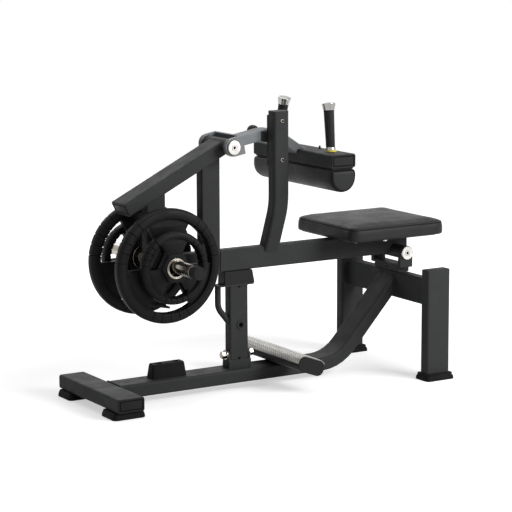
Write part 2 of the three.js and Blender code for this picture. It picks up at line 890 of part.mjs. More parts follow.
// Main beam: closed at its tail and notched over the rear pivot tube
const tubeNotch = rodY(rearPivotTubeRadius + seatGap, -earInner, earInner);
const beamFront = columnRear + seatGap;
const beamTube = joined(
  prismX(tubeSection(beamStock), beamFront, beamEnd - beamEndPlate / 2),
  prismX(solidSection(beamStock), beamEnd - beamEndPlate, beamEnd),
).translate(0, 0, beamZ);
piece(
  swing,
  "main_beam",
  cutBy(beamTube, tubeNotch.clone().translate(...rearPivotPlace)),
  blackPaint,
);
const pivotTube = (radius) =>
  turnedY([
    [radius, -pivotTubeHalf],
    [radius, pivotTubeHalf],
    [shaftRadius + runGap, pivotTubeHalf],
    [shaftRadius + runGap, -pivotTubeHalf],
  ]);
piece(swing, "rear_pivot_tube", pivotTube(rearPivotTubeRadius), blackPaint, rearPivotPlace);

// Weight beam, sloping down from the top pivot tube, and the columns under it
const topPivotPlace = [topPivotX, 0, topPivotZ];
piece(swing, "top_pivot_tube", pivotTube(topPivotTubeRadius), blackPaint, topPivotPlace);
const topPivot = new THREE.Vector3(...topPivotPlace);
const slopeFront = topPivot.clone().addScaledVector(slope, -slopeReach);
const weightTube = swept(
  tubeSection(frameStock),
  routeOf([slopeFront, topPivot], []),
  Y,
);
const topNotch = rodY(topPivotTubeRadius + seatGap, -earInner, earInner);
piece(
  swing,
  "weight_beam",
  cutBy(weightTube, topNotch.clone().translate(...topPivotPlace)),
  blackPaint,
);
const slopeUp = slope.clone().cross(Y);
const slopeBack = slope.clone().negate();
piece(
  swing,
  "weight_beam_cap",
  facing(tubeCap(frameStock), slopeBack, slopeUp, slopeFront.toArray()),
  blackPlastic,
);

// A column's top lies along the sloping beam's underside
function columnUnderSlope(x, foot) {
  const middleZ = topPivotZ + ((x - topPivotX) * slope.z) / slope.x;
  const top = middleZ - (frameStock.thick / 2 + seatGap) / slope.x;
  const section = { ...columnStock, wide: columnStock.thick, thick: columnStock.wide };
  const route = [new THREE.Vector3(x, 0, top), new THREE.Vector3(x, 0, foot)];
  return swept(tubeSection(section), routeOf(route, []), Y, { start: slope });
}
piece(swing, "upright", columnUnderSlope(columnX, beamBottom), blackPaint);
const hangerFoot = hornZ - hangerBelow;
const hangerLid = prismZ(
  solidSection(columnStock),
  hangerFoot,
  hangerFoot + hangerPlate,
).translate(hangerX, 0, 0);
piece(
  swing,
  "hanger",
  joined(columnUnderSlope(hangerX, hangerFoot + hangerPlate / 2), hangerLid),
  blackPaint,
);

// Horns: a tube with a flange, and a cap in its end
const hornBore = hornRadius - hornWall;
const flangeInner = hornFlangeOut - hornFlangeThick;
const hornEnd = hornTip - hornCapLong;
const hornProfile = [
  [hornRadius, hornFoot],
  [hornRadius, flangeInner],
  [hornFlangeRadius, flangeInner],
  [hornFlangeRadius, hornFlangeOut],
  [hornRadius, hornFlangeOut],
  [hornRadius, hornEnd],
  [hornBore, hornEnd],
  [hornBore, hornFoot],
];
const hornCapProfile = [
  [0, hornEnd - hornCapPlug],
  [hornBore - seatGap, hornEnd - hornCapPlug],
  [hornBore - seatGap, hornEnd + seatGap],
  [hornRadius, hornEnd + seatGap],
  [hornRadius, hornTip - hornCapChamfer],
  [hornRadius - hornCapChamfer, hornTip],
  [0, hornTip],
];
const mirrored = (profile, side) => profile.map(([radius, place]) => [radius, side * place]);
for (const { side, word } of sides) {
  const place = [hangerX, 0, hornZ];
  piece(swing, `horn_${word}`, turnedY(mirrored(hornProfile, side)), chrome, place);
  piece(
    swing,
    `horn_cap_${word}`,
    turnedY(mirrored(hornCapProfile, side)),
    blackPlastic,
    place,
  );
}

// Plates: a crowned rim with finger grooves, three grip openings and a six-sided hub
function rimStations(radius) {
  const edge = THREE.MathUtils.radToDeg(ribWidth / radius);
  const spoke = 360 / gripAngles.length - 2 * gripHalfAngle;
  return gripAngles.flatMap((middle) => {
    const start = middle - gripHalfAngle - spoke;
    const plain = Array.from({ length: spokeSteps }, (_, k) => [
      start + (spoke * k) / spokeSteps,
      0,
    ]);
    const grooves = Array.from({ length: ribsPerGrip }, (_, k) => {
      const at = middle + ribSpread * (k / (ribsPerGrip - 1) - 1 / 2);
      return [[at - edge, 0], [at, ribDepth], [at + edge, 0]];
    });
    return [...plain, ...grooves.flat()];
  });
}

function rimSolid({ radius, rim }) {
  const half = plateThick / 2;
  const outline = [...rimShares.map(([out, thick]) => [out, -thick]), ...rimShares.toReversed()];
  const rings = rimStations(radius).map(([angle, depth]) =>
    outline.map(([out, thick]) => {
      const reach = radius - rim + out * rim - out * depth;
      const y = (half - out * depth) * thick;
      return new THREE.Vector3(reach * Math.cos(rad(angle)), y, reach * Math.sin(rad(angle)));
    }),
  );
  return looped(rings);
}

function gripHole({ radius, rim, hub }, middle) {
  const outer = radius - rim;
  const inner = hub * Math.cos(Math.PI / 6) + gripHubMargin;
  const half = rad(gripHalfAngle);
  const round = gripCorner / outer;
  const along = (reach, angle) => {
    const turn = rad(middle) + angle;
    return [reach * Math.cos(turn), reach * Math.sin(turn)];
  };
  const flat = inner * Math.tan(half);
  const hole = new THREE.Path();
  const side = Math.hypot(inner, flat);
  hole.moveTo(...along(side, -half));
  hole.lineTo(...along(outer - gripCorner, -half));
  hole.quadraticCurveTo(...along(outer, -half), ...along(outer, round - half));
  hole.absarc(0, 0, outer, rad(middle) - half + round, rad(middle) + half - round);
  hole.quadraticCurveTo(...along(outer, half), ...along(outer - gripCorner, half));
  hole.lineTo(...along(side, half));
  hole.closePath();
  return hole;
}

function plateSolid(size) {
  const { radius, rim, hub, web } = size;
  const outline = new THREE.Shape();
  outline.setFromPoints(circle(radius - rim + rimEmbed, 2 * roundFacets));
  const bore = new THREE.Path(circle(boreRingOuter - boreRingProud, roundFacets));
  outline.holes.push(bore, ...gripAngles.map((middle) => gripHole(size, middle)));
  const half = plateThick / 2;
  const hubFlat = new THREE.Shape(circle(hub, 6));
  const solid = joined(
    prismY(outline, -web / 2, web / 2, webSteps),
    rimSolid(size),
    prismY(hubFlat, boreRingProud - half, half - boreRingProud),
    rodY(boreRingOuter, -half, half),
  );
  return cutBy(solid, rodY(plateBore, -half - overrun, half + overrun));
}
const plateDrop = plateBore - hornRadius - seatGap;
const largeY = hornFlangeOut + seatGap + plateThick / 2;
const smallY = largeY + plateThick + seatGap;
const stack = [
  { size: largePlate, name: "large_plate", y: largeY },
  { size: smallPlate, name: "small_plate", y: smallY },
];
for (const { size, name, y } of stack) {
  const solid = plateSolid(size);
  for (const { side, word } of sides) {
    const place = [hangerX, side * y, hornZ - plateDrop];
    piece(swing, `${name}_${word}`, solid.clone(), plateRubber, place);
  }
}

// Seat: rails welded to the beam, a board and a crowned cushion
const seatX = rearBarX - seatFront + seatLong / 2;
const railHalf = seatLong / 2 - seatRailInset;
const railLow = beamTop + seatGap;
const railTop = railLow + seatRailThick;
const rail = (x) =>
  block(
    [x - seatRailWide / 2, -seatRailHalf, railLow],
    [x + seatRailWide / 2, seatRailHalf, railTop],
  );
const spine = block(
  [-railHalf, -beamStock.wide / 2 + beamStock.corner, railLow],
  [railHalf, beamStock.wide / 2 - beamStock.corner, railTop],
);
piece(swing, "seat_frame", joined(rail(-railHalf), rail(railHalf), spine), blackPaint, [
  seatX,
  0,
  0,
]);
const boardLow = railTop + seatGap;
const boardTop = boardLow + seatBoardThick;
const boardCorner = Math.max(seatCorner - seatBoardInset, seatBoardInset / 2);
piece(
  swing,
  "seat_board",
  prismZ(
    roundedRect(seatLong - 2 * seatBoardInset, 2 * (seatHalf - seatBoardInset), boardCorner),
    boardLow,
    boardTop,
    curveSteps,
  ),
  blackPlastic,
  [seatX, 0, 0],
);
const seatRing = (inset, z) => levelRing(seatLong, 2 * seatHalf, seatCorner, inset, z, 5);
const hemInset = seatBoardInset - runGap;
const seatLow = boardTop + seatGap - seatHem;
const seatTop = seatLow + seatThick;
// Shares of the edge's size: inset, and drop below the flat of the top
const seatEdgeShares = [
  [0, 1],
  [0.12, 0.52],
  [0.38, 0.17],
  [0.9, 0],
];
const crownShares = [
  [0.2, 0.45],
  [0.5, 0.82],
  [0.85, 1],
];
const seatCushion = skinned([
  seatRing(hemInset, boardTop + seatGap),
  seatRing(hemInset, seatLow),
  seatRing(seatEdge / 3, seatLow),
  seatRing(0, seatLow + seatEdge / 3),
  ...seatEdgeShares.map(([inset, drop]) => seatRing(inset * seatEdge, seatTop - drop * seatEdge)),
  ...crownShares.map(([inset, up]) =>
    seatRing(seatEdge + (inset * seatLong) / 2, seatTop + up * seatCrown),
  ),
]);
piece(swing, "seat_cushion", seatCushion, vinyl, [seatX, 0, 0]);

// Rack post: upright beside the arm, then bent inwards down to the beam
const pinX = topPivotX + pinDistance * Math.cos(rad(pinAngle));
const rackPostX = pinX + rackPostOffset;
const armHalf = armStock.wide / 2;
const rackFar = -armHalf - rackClear;
const rackNear = rackFar - rackPlateThick;
const rackPostY = rackNear - seatGap - rackStock.thick / 2;
const footAt = new THREE.Vector3(rackPostX, rackPostFootY, beamTop);
const kneeAt = new THREE.Vector3(rackPostX, rackPostY, rackPostKneeZ);
const lean = footAt.clone().sub(kneeAt).normalize();
const footEnd = footAt.clone().addScaledVector(lean, rackPostTab / -lean.z);
const rackTop = new THREE.Vector3(rackPostX, rackPostY, topPivotZ + rackPostTop);
const rackRoute = routeOf([rackTop, kneeAt, footEnd], [rackPostBend]);
const beamBlock = (grow) =>
  prismX(solidSection(beamStock, grow), beamFront, beamEnd).translate(0, 0, beamZ);
const rackLid = prismZ(solidSection(rackStock), rackTop.z - rackPostLid, rackTop.z, curveSteps);
const rackPost = cutBy(
  joined(
    swept(tubeSection(rackStock), rackRoute, X, { end: Y }, curveSteps),
    rackLid.translate(rackPostX, rackPostY, 0),
  ),
  beamBlock(seatGap),
  block(
    [rackPostX - rackStock.wide, 0, beamBottom],
    [rackPostX + rackStock.wide, rackStock.thick, beamTop + seatGap],
  ),
);
piece(swing, "rack_post", rackPost, blackPaint);

const rackHoles = rackHoleAngles.map((turn) => {
  const angle = rad(pinAngle + turn);
  const hole = rodY(rackHoleRadius, rackNear - overrun, rackFar + overrun, smallFacets);
  return hole.translate(
    topPivotX + pinDistance * Math.cos(angle),
    0,
    topPivotZ + pinDistance * Math.sin(angle),
  );
});
const pinZ = topPivotZ + pinDistance * Math.sin(rad(pinAngle));
const rackPlate = block(
  [rackPostX - rackPlateWide / 2, rackNear, pinZ - rackPlateDown],
  [rackPostX + rackPlateWide / 2, rackFar, pinZ + rackPlateUp],
);
piece(swing, "rack_plate", cutBy(rackPlate, ...rackHoles), blackPaint);

// Arm: a yoke on the top pivot's shaft, a bent tube and the pad bar, about the top pivot
const armLine = new THREE.Vector3(Math.cos(rad(armRise)), 0, Math.sin(rad(armRise)));
const armTurn = new THREE.Matrix4().makeRotationY(-rad(armRise));
const yokeEar = new THREE.Shape();
yokeEar.moveTo(0, -yokeRadius);
yokeEar.lineTo(yokeReach, -yokeRadius);
yokeEar.lineTo(yokeReach, yokeRadius);
yokeEar.lineTo(0, yokeRadius);
yokeEar.absarc(0, 0, yokeRadius, Math.PI / 2, 1.5 * Math.PI);
const yoke = cutBy(
  joined(
    prismY(yokeEar, -earOuter, -earInner, earSteps),
    prismY(yokeEar, earInner, earOuter, earSteps),
    block([yokeReach - yokePlate, -earOuter, -yokeRadius], [yokeReach, earOuter, yokeRadius]),
  ),
  shaftBore,
);
piece(arm, "arm_yoke", yoke.applyMatrix4(armTurn), greyPaint);
piece(arm, "top_pivot_shaft", shaftWithCap.clone(), chrome);
piece(arm, "top_pivot_cap", farCap.clone(), chrome);

const padBarAt = new THREE.Vector3(padBarBack, 0, -padBarDrop);
const padBarTop = padBarAt.z + frameStock.thick / 2;
const padBarFront = padBarAt.x - frameStock.wide / 2;
const armStart = armLine.clone().multiplyScalar(yokeReach + seatGap);
const armCorner = armLine.clone().multiplyScalar(armKnee);
const armAim = new THREE.Vector3(padBarFront, 0, padBarTop + armStock.thick / 8);
const descent = armAim.clone().sub(armCorner).normalize();
const armSink = armStock.thick * armSinkShare;
const armEnd = armAim.clone().addScaledVector(descent, (armAim.z - padBarTop + armSink) / -descent.z);
const padBarBlock = prismY(solidSection(frameStock, seatGap), -padBarHalf, padBarHalf);
const pinAt = new THREE.Vector3(pinX - topPivotX, 0, pinZ - topPivotZ);
const armTube = swept(
  tubeSection(armStock),
  routeOf([armStart, armCorner, armEnd], [armKneeRadius]),
  Y,
  { end: X },
);
const barrelFoot = armHalf - armStock.wall / 2;
const barrelEnd = armHalf + barrelLong;
const barrel = rodY(barrelRadius, barrelFoot, barrelEnd).translate(...pinAt.toArray());
const pinHole = rodY(pinRadius + runGap, -armHalf - overrun, barrelEnd + overrun);
piece(
  arm,
  "arm_tube",
  cutBy(
    joined(armTube, barrel),
    padBarBlock.translate(...padBarAt.toArray()),
    pinHole.translate(...pinAt.toArray()),
  ),
  greyPaint,
);
piece(
  arm,
  "pad_crossbeam",
  prismY(tubeSection(frameStock), -padBarHalf, padBarHalf),
  blackPaint,
  padBarAt.toArray(),
);

// Knee pad under the crossbeam: a board, and a cushion with a round belly
const padBoardTop = padBarAt.z - frameStock.thick / 2 - seatGap;
const padBoardLow = padBoardTop - padBoardThick;
const padBoardX = padWide / 2 - padBoardInset;
const padBoardY = padHalf - padBoardInset;
piece(
  arm,
  "knee_pad_board",
  block([-padBoardX, -padBoardY, padBoardLow], [padBoardX, padBoardY, padBoardTop]),
  blackPlastic,
  [padBarAt.x, 0, 0],
);
const padTop = padBoardLow - seatGap;
const padRing = (inset, y) => {
  const radius = padWide / 2 - inset;
  const belly = padTop - padDeep + padWide / 2;
  const corner = padCornerShare * radius;
  const bottom = Array.from({ length: padBellySteps + 1 }, (_, k) => {
    const angle = Math.PI + (Math.PI * k) / padBellySteps;
    return new THREE.Vector3(radius * Math.cos(angle), y, belly + radius * Math.sin(angle));
  });
  return [
    ...bottom,
    new THREE.Vector3(radius, y, padTop - corner - inset),
    new THREE.Vector3(radius - corner, y, padTop - inset),
    new THREE.Vector3(corner - radius, y, padTop - inset),
    new THREE.Vector3(-radius, y, padTop - corner - inset),
  ];
};
// Shares of the end's rounding: in from the end, and inset of the section
const padEndShares = [
  [0, 1],
  [0.12, 0.5],
  [0.42, 0.14],
  [1, 0],
];
const padEnd = (side) =>
  padEndShares.map(([back, inset]) =>
    padRing(inset * padEndRound, side * (padHalf - back * padEndRound)),
  );
const kneePad = skinned([...padEnd(1), ...padEnd(-1).reverse()]);
piece(arm, "knee_pad", kneePad, vinyl, [padBarAt.x, 0, 0]);

// Handles: leaning rods cut flat where they stand on the crossbeam
for (const { side, word } of sides) {
  const out = Y.clone().multiplyScalar(side);
  const cap = facing(tubeCap(frameStock), out, Z, [0, side * padBarHalf, 0]);
  piece(arm, `crossbeam_cap_${word}`, cap, blackPlastic, padBarAt.toArray());
  const foot = [padBarAt.x + handleX, side * handleY, padBarTop];
  const leanTurn = new THREE.Matrix4()
    .makeRotationX(side * rad(handleLeanIn))
    .premultiply(new THREE.Matrix4().makeRotationY(rad(handleLeanBack)));
  const shape = handleProfile();
  const rod = turnedZ(shape.grip, smallFacets).applyMatrix4(leanTurn);
  const capShape = turnedZ(shape.cap, smallFacets).applyMatrix4(leanTurn);
  const reach = handleCollarRadius * 2;
  const floor = block([-reach, -reach, -reach], [reach, reach, seatGap]);
  piece(arm, `handle_${word}`, cutBy(rod, floor), blackPlastic, foot);
  piece(arm, `handle_cap_${word}`, capShape, chrome, foot);
}

function handleProfile() {
  const low = -handleCollarHigh;
  const band = handleBandHigh;
  const neck = handleLong - handleCapHigh;
  const grip = [
    [0, low],
    [handleCollarRadius, low],
    [handleCollarRadius, band],
    [handleCollarRadius + handleBandProud, band],
    [handleCollarRadius + handleBandProud, 2 * band],
    [handleCollarRadius, 2 * band],
    [handleCollarRadius, band + handleCollarHigh],
    [handleRadius, band + handleCollarHigh],
    [handleRadius, neck],
    [0, neck],
  ];
  const foot = neck + seatGap;
  const cap = [
    [0, foot],
    [handleCapFoot, foot],
    [handleCapRim, handleLong - handleCapRound],
    [handleCapRim - handleCapRound, handleLong],
    [0, handleLong],
  ];
  return { grip, cap };
}

// Pull pin, drawn back from the rack, and its knob
const pinTip = rackFar + runGap;
const pinStroke = rackPlateThick; // from parked to through the rack
const knobFoot = barrelEnd + pinStroke + runGap;
const knobFace = knobFoot + knobNeckLong + knobThick;
const pullPin = turnedY([
  [0, pinTip],
  [pinRadius, pinTip],
  [pinRadius, knobFoot],
  [knobNeckRadius, knobFoot],
  [knobNeckRadius, knobFoot + knobNeckLong],
  [knobRadius - knobRound, knobFoot + knobNeckLong],
  [knobRadius, knobFoot + knobNeckLong + knobRound],
  [knobRadius, knobFace - knobRound],
  [knobRadius - knobRound, knobFace],
  [0, knobFace],
]);
piece(pin, "pull_pin", pullPin, blackPlastic, pinAt.toArray());

// The frame's origin: on the floor, under the middle of the machine's length
const frontMost = -footAhead;
const rearMost = Math.max(
  rearBarX - seatFront + seatLong,
  rearBarX + legStock.wide / 2 + bootOverX,
);
machine.position.x = -(frontMost + rearMost) / 2;

export default machine;
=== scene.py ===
"""Looks of the seated calf raise machine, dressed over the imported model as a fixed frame."""

import json
import math

import bmesh
import bpy
from mathutils import Matrix, Vector
from mathutils.bvhtree import BVHTree
from mathutils.kdtree import KDTree

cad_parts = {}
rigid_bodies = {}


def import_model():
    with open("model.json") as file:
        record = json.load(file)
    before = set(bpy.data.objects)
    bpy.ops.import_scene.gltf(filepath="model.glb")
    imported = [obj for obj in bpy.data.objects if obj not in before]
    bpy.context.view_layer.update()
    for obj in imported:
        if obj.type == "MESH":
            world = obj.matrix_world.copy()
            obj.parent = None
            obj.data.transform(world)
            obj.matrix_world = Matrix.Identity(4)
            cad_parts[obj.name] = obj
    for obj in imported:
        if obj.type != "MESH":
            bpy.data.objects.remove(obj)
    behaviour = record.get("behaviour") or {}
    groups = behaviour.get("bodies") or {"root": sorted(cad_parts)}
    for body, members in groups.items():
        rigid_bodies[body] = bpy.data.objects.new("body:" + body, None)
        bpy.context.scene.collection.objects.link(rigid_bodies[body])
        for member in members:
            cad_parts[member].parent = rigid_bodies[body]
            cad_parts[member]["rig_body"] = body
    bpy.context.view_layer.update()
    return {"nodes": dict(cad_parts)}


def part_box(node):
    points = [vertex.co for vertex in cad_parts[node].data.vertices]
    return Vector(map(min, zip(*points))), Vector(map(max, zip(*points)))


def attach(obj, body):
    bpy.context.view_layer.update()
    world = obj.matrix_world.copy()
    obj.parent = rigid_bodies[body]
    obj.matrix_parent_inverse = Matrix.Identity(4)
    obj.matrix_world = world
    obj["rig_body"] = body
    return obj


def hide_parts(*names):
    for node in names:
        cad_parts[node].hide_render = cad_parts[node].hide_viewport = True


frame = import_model()
scene = bpy.context.scene
X, Y, Z = Vector((1, 0, 0)), Vector((0, 1, 0)), Vector((0, 0, 1))
MM = 0.001
ends = (("near", -1), ("far", 1))


def mm(*lengths):
    """Lengths in millimetres, as metres."""
    return [length * MM for length in lengths]


# Places along X are measured back from the front crossbar's front face, as this one is
rear_bar_x = 1.428

# Camera, solved from the photograph; lengths in metres, angles in degrees
camera_turn = 31.3623
camera_rise = 9.7503
camera_roll = -0.2227
camera_distance = 8.07194
camera_aim = (0.762865, 0, 0.52491)
camera_focal = 2011.21
frame_pixels = 512
sensor_width = 36

# Stage, and lamps as (place, width in metres, watts)
floor_half = 6.0
floor_grey = 0.82
glow_near, glow_far, glow_level = 0.9, 2.0, 0.54
world_level = 0.095
lamps = {
    "key": ((1.7, -3.1, 2.3), 2.0, 130),
    "top": ((-0.1, 0.2, 3.4), 2.8, 37),
    "back": ((0.6, 3.4, 2.4), 2.4, 24),
}

# Finishes: the middle band of a noise, patches on edges that lighten them as wear and as a painted
# highlight, and the pebbled vinyl
noise_low, noise_high = 0.3, 0.7
patch_scale, patch_low, patch_high, patch_least = 60, 0.38, 0.62, 0.15
worn_smoother = 0.15
pebble_scale, pebble_edge, pebble_strength = 520, 0.18, 0.8
crease_scale, crease_strength = 26, 0.5
pebble_high, crease_high = mm(0.12, 0.9)
stir_scale, stir_far = 90, 4 * MM
pit_edge, pit_share, pit_shade = 0.06, 0.65, 0.4
vinyl_drift = 0.12

# Edges of the frame's tubes and moulded pieces, along the piece and at its cut ends
join_distance = 0.01 * MM
flat_angle = math.radians(0.4)
soft_angle = math.radians(15)
crisp_angle = math.radians(62)
smooth_angle = math.radians(38)
corner_round = 3 * MM
crisp_edge = 0.7 * MM
rack_corner = 5 * MM
step_edge = 7 * MM
yoke_corner, yoke_crisp = mm(2, 1.2)
rubber_corner, boot_crisp, block_crisp = mm(4, 2, 2.2)
bevel_angle = math.radians(30)
normal_weight = 80
edge_steps = 3
turned_steps = 72
washer_steps, stud_steps, peg_steps, screw_steps = 36, 40, 32, 24
fillet_steps, fine_steps = 5, 3
polygon_reach = 2.2

# How far a small piece reaches into what carries it, and how far a mark stands on it
sunk = 1 * MM
mark_proud = 0.3 * MM
fine_round = 0.5 * MM
slight_round = 0.8 * MM
soft_round = 1.2 * MM

# Weld beads
bead_radius = 2.6 * MM
bead_sides = 10
bead_step = 3 * MM
bead_ripple_share = 0.16
bead_ripples_each = 3
weld_corner = 8 * MM
weld_corner_tight = 6 * MM
weld_corner_wide = 10 * MM

# Pivots: tubes, shafts and bright caps with a ring and a socket; the caps' rim and ring are painted
# darker and the socket near-black, as painted shade
pivot_wall = 4 * MM
shaft_radius = 12.5 * MM
shaft_in = 2 * MM
cap_socket, cap_socket_deep, cap_socket_slope = mm(5.6, 4, 0.6)
cap_round = 2.2 * MM
cap_ring, cap_ring_wide, cap_ring_deep = mm(10.4, 1.8, 1.2)

# Bolts: hexagon heads on washers, and domed studs
bolt_head, bolt_high, bolt_chamfer = mm(9.5, 6, 1)
bolt_edge = 0.4 * MM
washer_radius, washer_thick = mm(12.5, 2)
stud_radius, stud_high = mm(9, 6)
stud_well, stud_well_slope, stud_well_foot = mm(4.8, 0.6, 2)
stud_shoulder_share, stud_rise_share = 0.8, 0.75
rack_studs = (("upper", 1.074), ("lower", 0.9198))
seat_bolt_size, stop_bolt_size = 0.9, 1.1
seat_bolts = (("front", 1.158, 0.13), ("mid", 1.263, 0.185), ("rear", 1.434, 0.13))

# Horns: a tube with a flange behind the plates, and a cap with a ring groove
horn_radius, horn_wall = mm(25, 4)
flange_out, flange_thick = mm(86.7, 8)
horn_cap_deep, horn_cap_gap = mm(10, 0.4)
horn_cap_round = 1.3 * MM
groove_outer, groove_mid, groove_inner, groove_sunk = mm(17.6, 16.6, 15.6, 1.4)

# Plates; the rim's profile is (share of its width, share of half its thickness)
rim_profile = (
    (0, 0.5), (0.03, 0.78), (0.08, 0.93), (0.15, 1), (0.22, 1), (0.25, 0.9), (0.28, 0.98),
    (0.36, 1), (0.52, 0.97), (0.68, 0.93), (0.8, 0.86), (0.9, 0.74), (0.965, 0.56), (1, 0.3),
)
plates = {
    "large": {"rim": 42 * MM, "hub": 70 * MM, "web": 26 * MM},
    "small": {"rim": 28 * MM, "hub": 62 * MM, "web": 26 * MM},
}
grip_middles = (30, 150, 270)
grip_half = 31
grip_in = 4
grip_round = 9 * MM
grip_under_rim, grip_over_hub = mm(2, 3)
groove_count = 5
groove_spread = 44
groove_wide = 3.2 * MM
groove_deep = 3 * MM
groove_profile = ((-1, 0), (-0.55, 0.4), (0, 1), (0.55, 0.4), (1, 0))
groove_clear = 1.2
plain_step = 2.5
hub_facet = 60
grip_arc_steps, panel_arc_steps = 8, 5
web_steps, bore_steps = 120, 72
hub_round = 3 * MM
hub_drop = 1 * MM
web_in_rim = 6 * MM
plate_edge = 1.6 * MM
panel_inset, panel_proud = mm(7, 1.5)
panel_round, panel_edge = mm(4, 1)
rings = {"bore": 32 * MM, "inner": 35 * MM, "step": 37.2 * MM, "outer": 40.5 * MM}
ring_step_deep, ring_bevel, ring_drop = mm(2.4, 1.5, 0.6)

# End caps: a lip round a sunk panel with a seam, whose groove is painted near-black as shade
lip_thick = 3 * MM
lip_wide = 5 * MM
lip_round = 1.2 * MM
lip_corner, lip_corner_inside, panel_corner = mm(8, 5, 4)
lip_slope = 1.6 * MM
lip_round_share = 0.3
panel_deep = 2.2 * MM
panel_in, panel_gap = mm(11, 0.5)
panel_high = 1.6 * MM
seam_groove, seam_lap = mm(0.7, 0.2)
seam_slope_share = 1.5
seam_under, seam_edge = mm(0.4, 0.1)
weight_cap_inset = 1 * MM

# Front feet; a level is (inset, share of the foot's height, height added to it)
foot_front, foot_rear = mm(-14, 125)
foot_inner, foot_outer = 0.13, 0.247
foot_corner = 18 * MM
foot_levels = (
    (2.5 * MM, 0, 0), (0, 0, 2.5 * MM), (0.4 * MM, 0.3, 0), (2.6 * MM, 0.62, 0),
    (5 * MM, 0.78, 0), (6 * MM, 1, -2 * MM), (7.4 * MM, 1, -0.5 * MM),
)

# The hanger's lower end and the beam between it and the upright
hanger_foot_z = 0.378
hanger_end = 5 * MM
hanger_tilt = math.radians(11.8)
hanger_plate = 8 * MM
hanger_plate_over = 12 * MM
beam_corner = 6 * MM

# Lids that close the rear legs, and the pedestal's vent, a near-black disc painting the shade in its
# opening
lid_inset = 6 * MM
lid_line = 1.4 * MM
lid_sides = 8
vent_radius, vent_rise = mm(4.6, 10.8)

# Handles, leaning in (in degrees) and back; heights run along them from the pad bar
handle_in, handle_back = 10.4, math.radians(3.6)
handle_y, handle_shift = 0.198, 2 * MM
collar_radius, collar_high = mm(20, 17)
band_radius, band_low, band_high = mm(22.6, -2.5, 6.2)
grip_radius, grip_radius_top, grip_high = mm(18, 21, 162)
ridge_pitch, ridge_deep = mm(5.5, 0.5)
ridge_profile = ((0.15, 0), (0.6, 0), (0.75, 1), (0.85, 1))
neck_radius, neck_over, neck_round = mm(21.6, 2, 0.6)
handle_tip = 194 * MM
flare_foot, flare_neck, flare_neck_high = mm(21.2, 22, 3)
flare_radius, flare_low, flare_high = mm(27.6, 5, 3)
flare_top, flare_crown, flare_round = mm(23, 0.4, 2.4)
screw_radius, screw_in, screw_out = mm(2.6, 2, 1.4)
screw_way = (-0.5, -0.86, 0)

# Footrest tread: a bent sheet with raised lozenges
seat_gap = 0.3 * MM
step_wide, step_thick, step_corner = mm(124, 62, 26)
step_tilt = math.radians(20)
tread_thick = 3 * MM
tread_edge = 0.6 * MM
tread_end = math.radians(35)
lozenge_pitch = 15 * MM
lozenge_long, lozenge_wide, lozenge_high = mm(12, 6, 1.2)
lozenge_top_share = 0.55
lozenge_row_shift, lozenge_shift = 0.5, 0.25
lozenge_sunk = 0.2 * MM
lozenge_lean = math.radians(45)

# Support post: its bar handle, eye with painted shade in its hole, drain holes drawn as near-black discs
# for their shade, and the bolt that it folds on
grip_bar = 12.4 * MM
grip_sides = 24
grip_knee_z = 0.33
grip_foot_z = 0.276
grip_bend = 60 * MM
grip_run_in = 8 * MM
post_half = 22 * MM
post_wide = 84 * MM
post_plate_z = 0.4184
cap_taper = 8 * MM
eye_off = 6 * MM
eye_z = 0.257
eye_hole, eye_outer, eye_proud = mm(11, 17.4, 4.4)
eye_dark, eye_rim_drop, eye_lap = mm(5.5, 0.4, 0.2)
eye_film = mm(0.2, 0.5)
sleeve_inner, sleeve_outer = mm(10.6, 11.3)
lip_z = 0.1163
drain_radius, drain_proud = mm(6, 0.4)
drain_under_cap, drain_over_lip = mm(11, 5)
hinge_bolt_thick, hinge_bolt_size, hinge_bolt_high = 16 * MM, 1.62, 12 * MM
hinge_rod = 8 * MM

# Stop block
stop_pitch = 76 * MM
stop_deep = 12 * MM
stop_flare = 5 * MM

# Pull pin, and its knob as (less than the knob's radius, height over its foot) in millimetres
pin_tip, pin_radius, pin_chamfer = mm(4.6, 6, 1.6)
pin_collar, pin_collar_long = mm(10, 6)
knob_long = 28 * MM
knob_profile = ((6, 0), (0, 7), (0, 12), (1.4, 14), (0, 16), (0, 22), (6, 28))
knob_dish, knob_dish_foot, knob_dish_deep = mm(12, 11, 1.2)
knob_round = 1.5 * MM

# A dark pad on the arm's side, painting the rack post's shadow, as places along X and Z, and the peg on
# the pad bar
arm_half = 42 * MM
arm_shadow_corners = ((0.762, 0.991), (0.853, 0.976), (0.853, 1.016), (0.762, 1.031))
arm_shadow_round, arm_shadow_in, arm_shadow_proud, arm_shadow_edge = mm(2, 0.6, 1, 0.3)
peg_x, peg_y = 1.019, -0.074
peg_foot, peg_foot_high, peg_radius, peg_high = mm(6, 3, 4, 11)

# Tubes that the weld beads run round
base_wide, base_thick = mm(114, 55)
rise_angle = math.radians(47.7)
slope_angle = math.radians(26.4)
weight_beam_reach = 0.492
weight_beam_thick = 55 * MM

# Cushions
cloth_frames = 20
pressure = 4
voxel = 5 * MM
relax_before, relax_after = 4, 5
held_deep = 2 * MM
swell_cap = 8 * MM
inward_share = 0.15
swell_passes = 24
seat_corner, seat_corner_tight = mm(50, 40)
seat_shift = 6 * MM
piping_radius = 2.1 * MM
piping_sides = 12
piping_step = 6 * MM
piping_passes = 2
seam_reach = 7 * MM
seam_deep = 2.6 * MM
seam_in, seam_drop, seam_corner = mm(3, 10, 24)
pad_seam_in = 3 * MM
pad_seam_steps = 24


def span(node):
    """A node's lowest and highest corners at rest, and its middle."""
    low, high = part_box(node)
    return low, high, (low + high) / 2


def mid(node):
    return span(node)[2]


def body_of(node):
    return frame["nodes"][node]["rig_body"]


front_face = mid("rear_crossbar").x - rear_bar_x
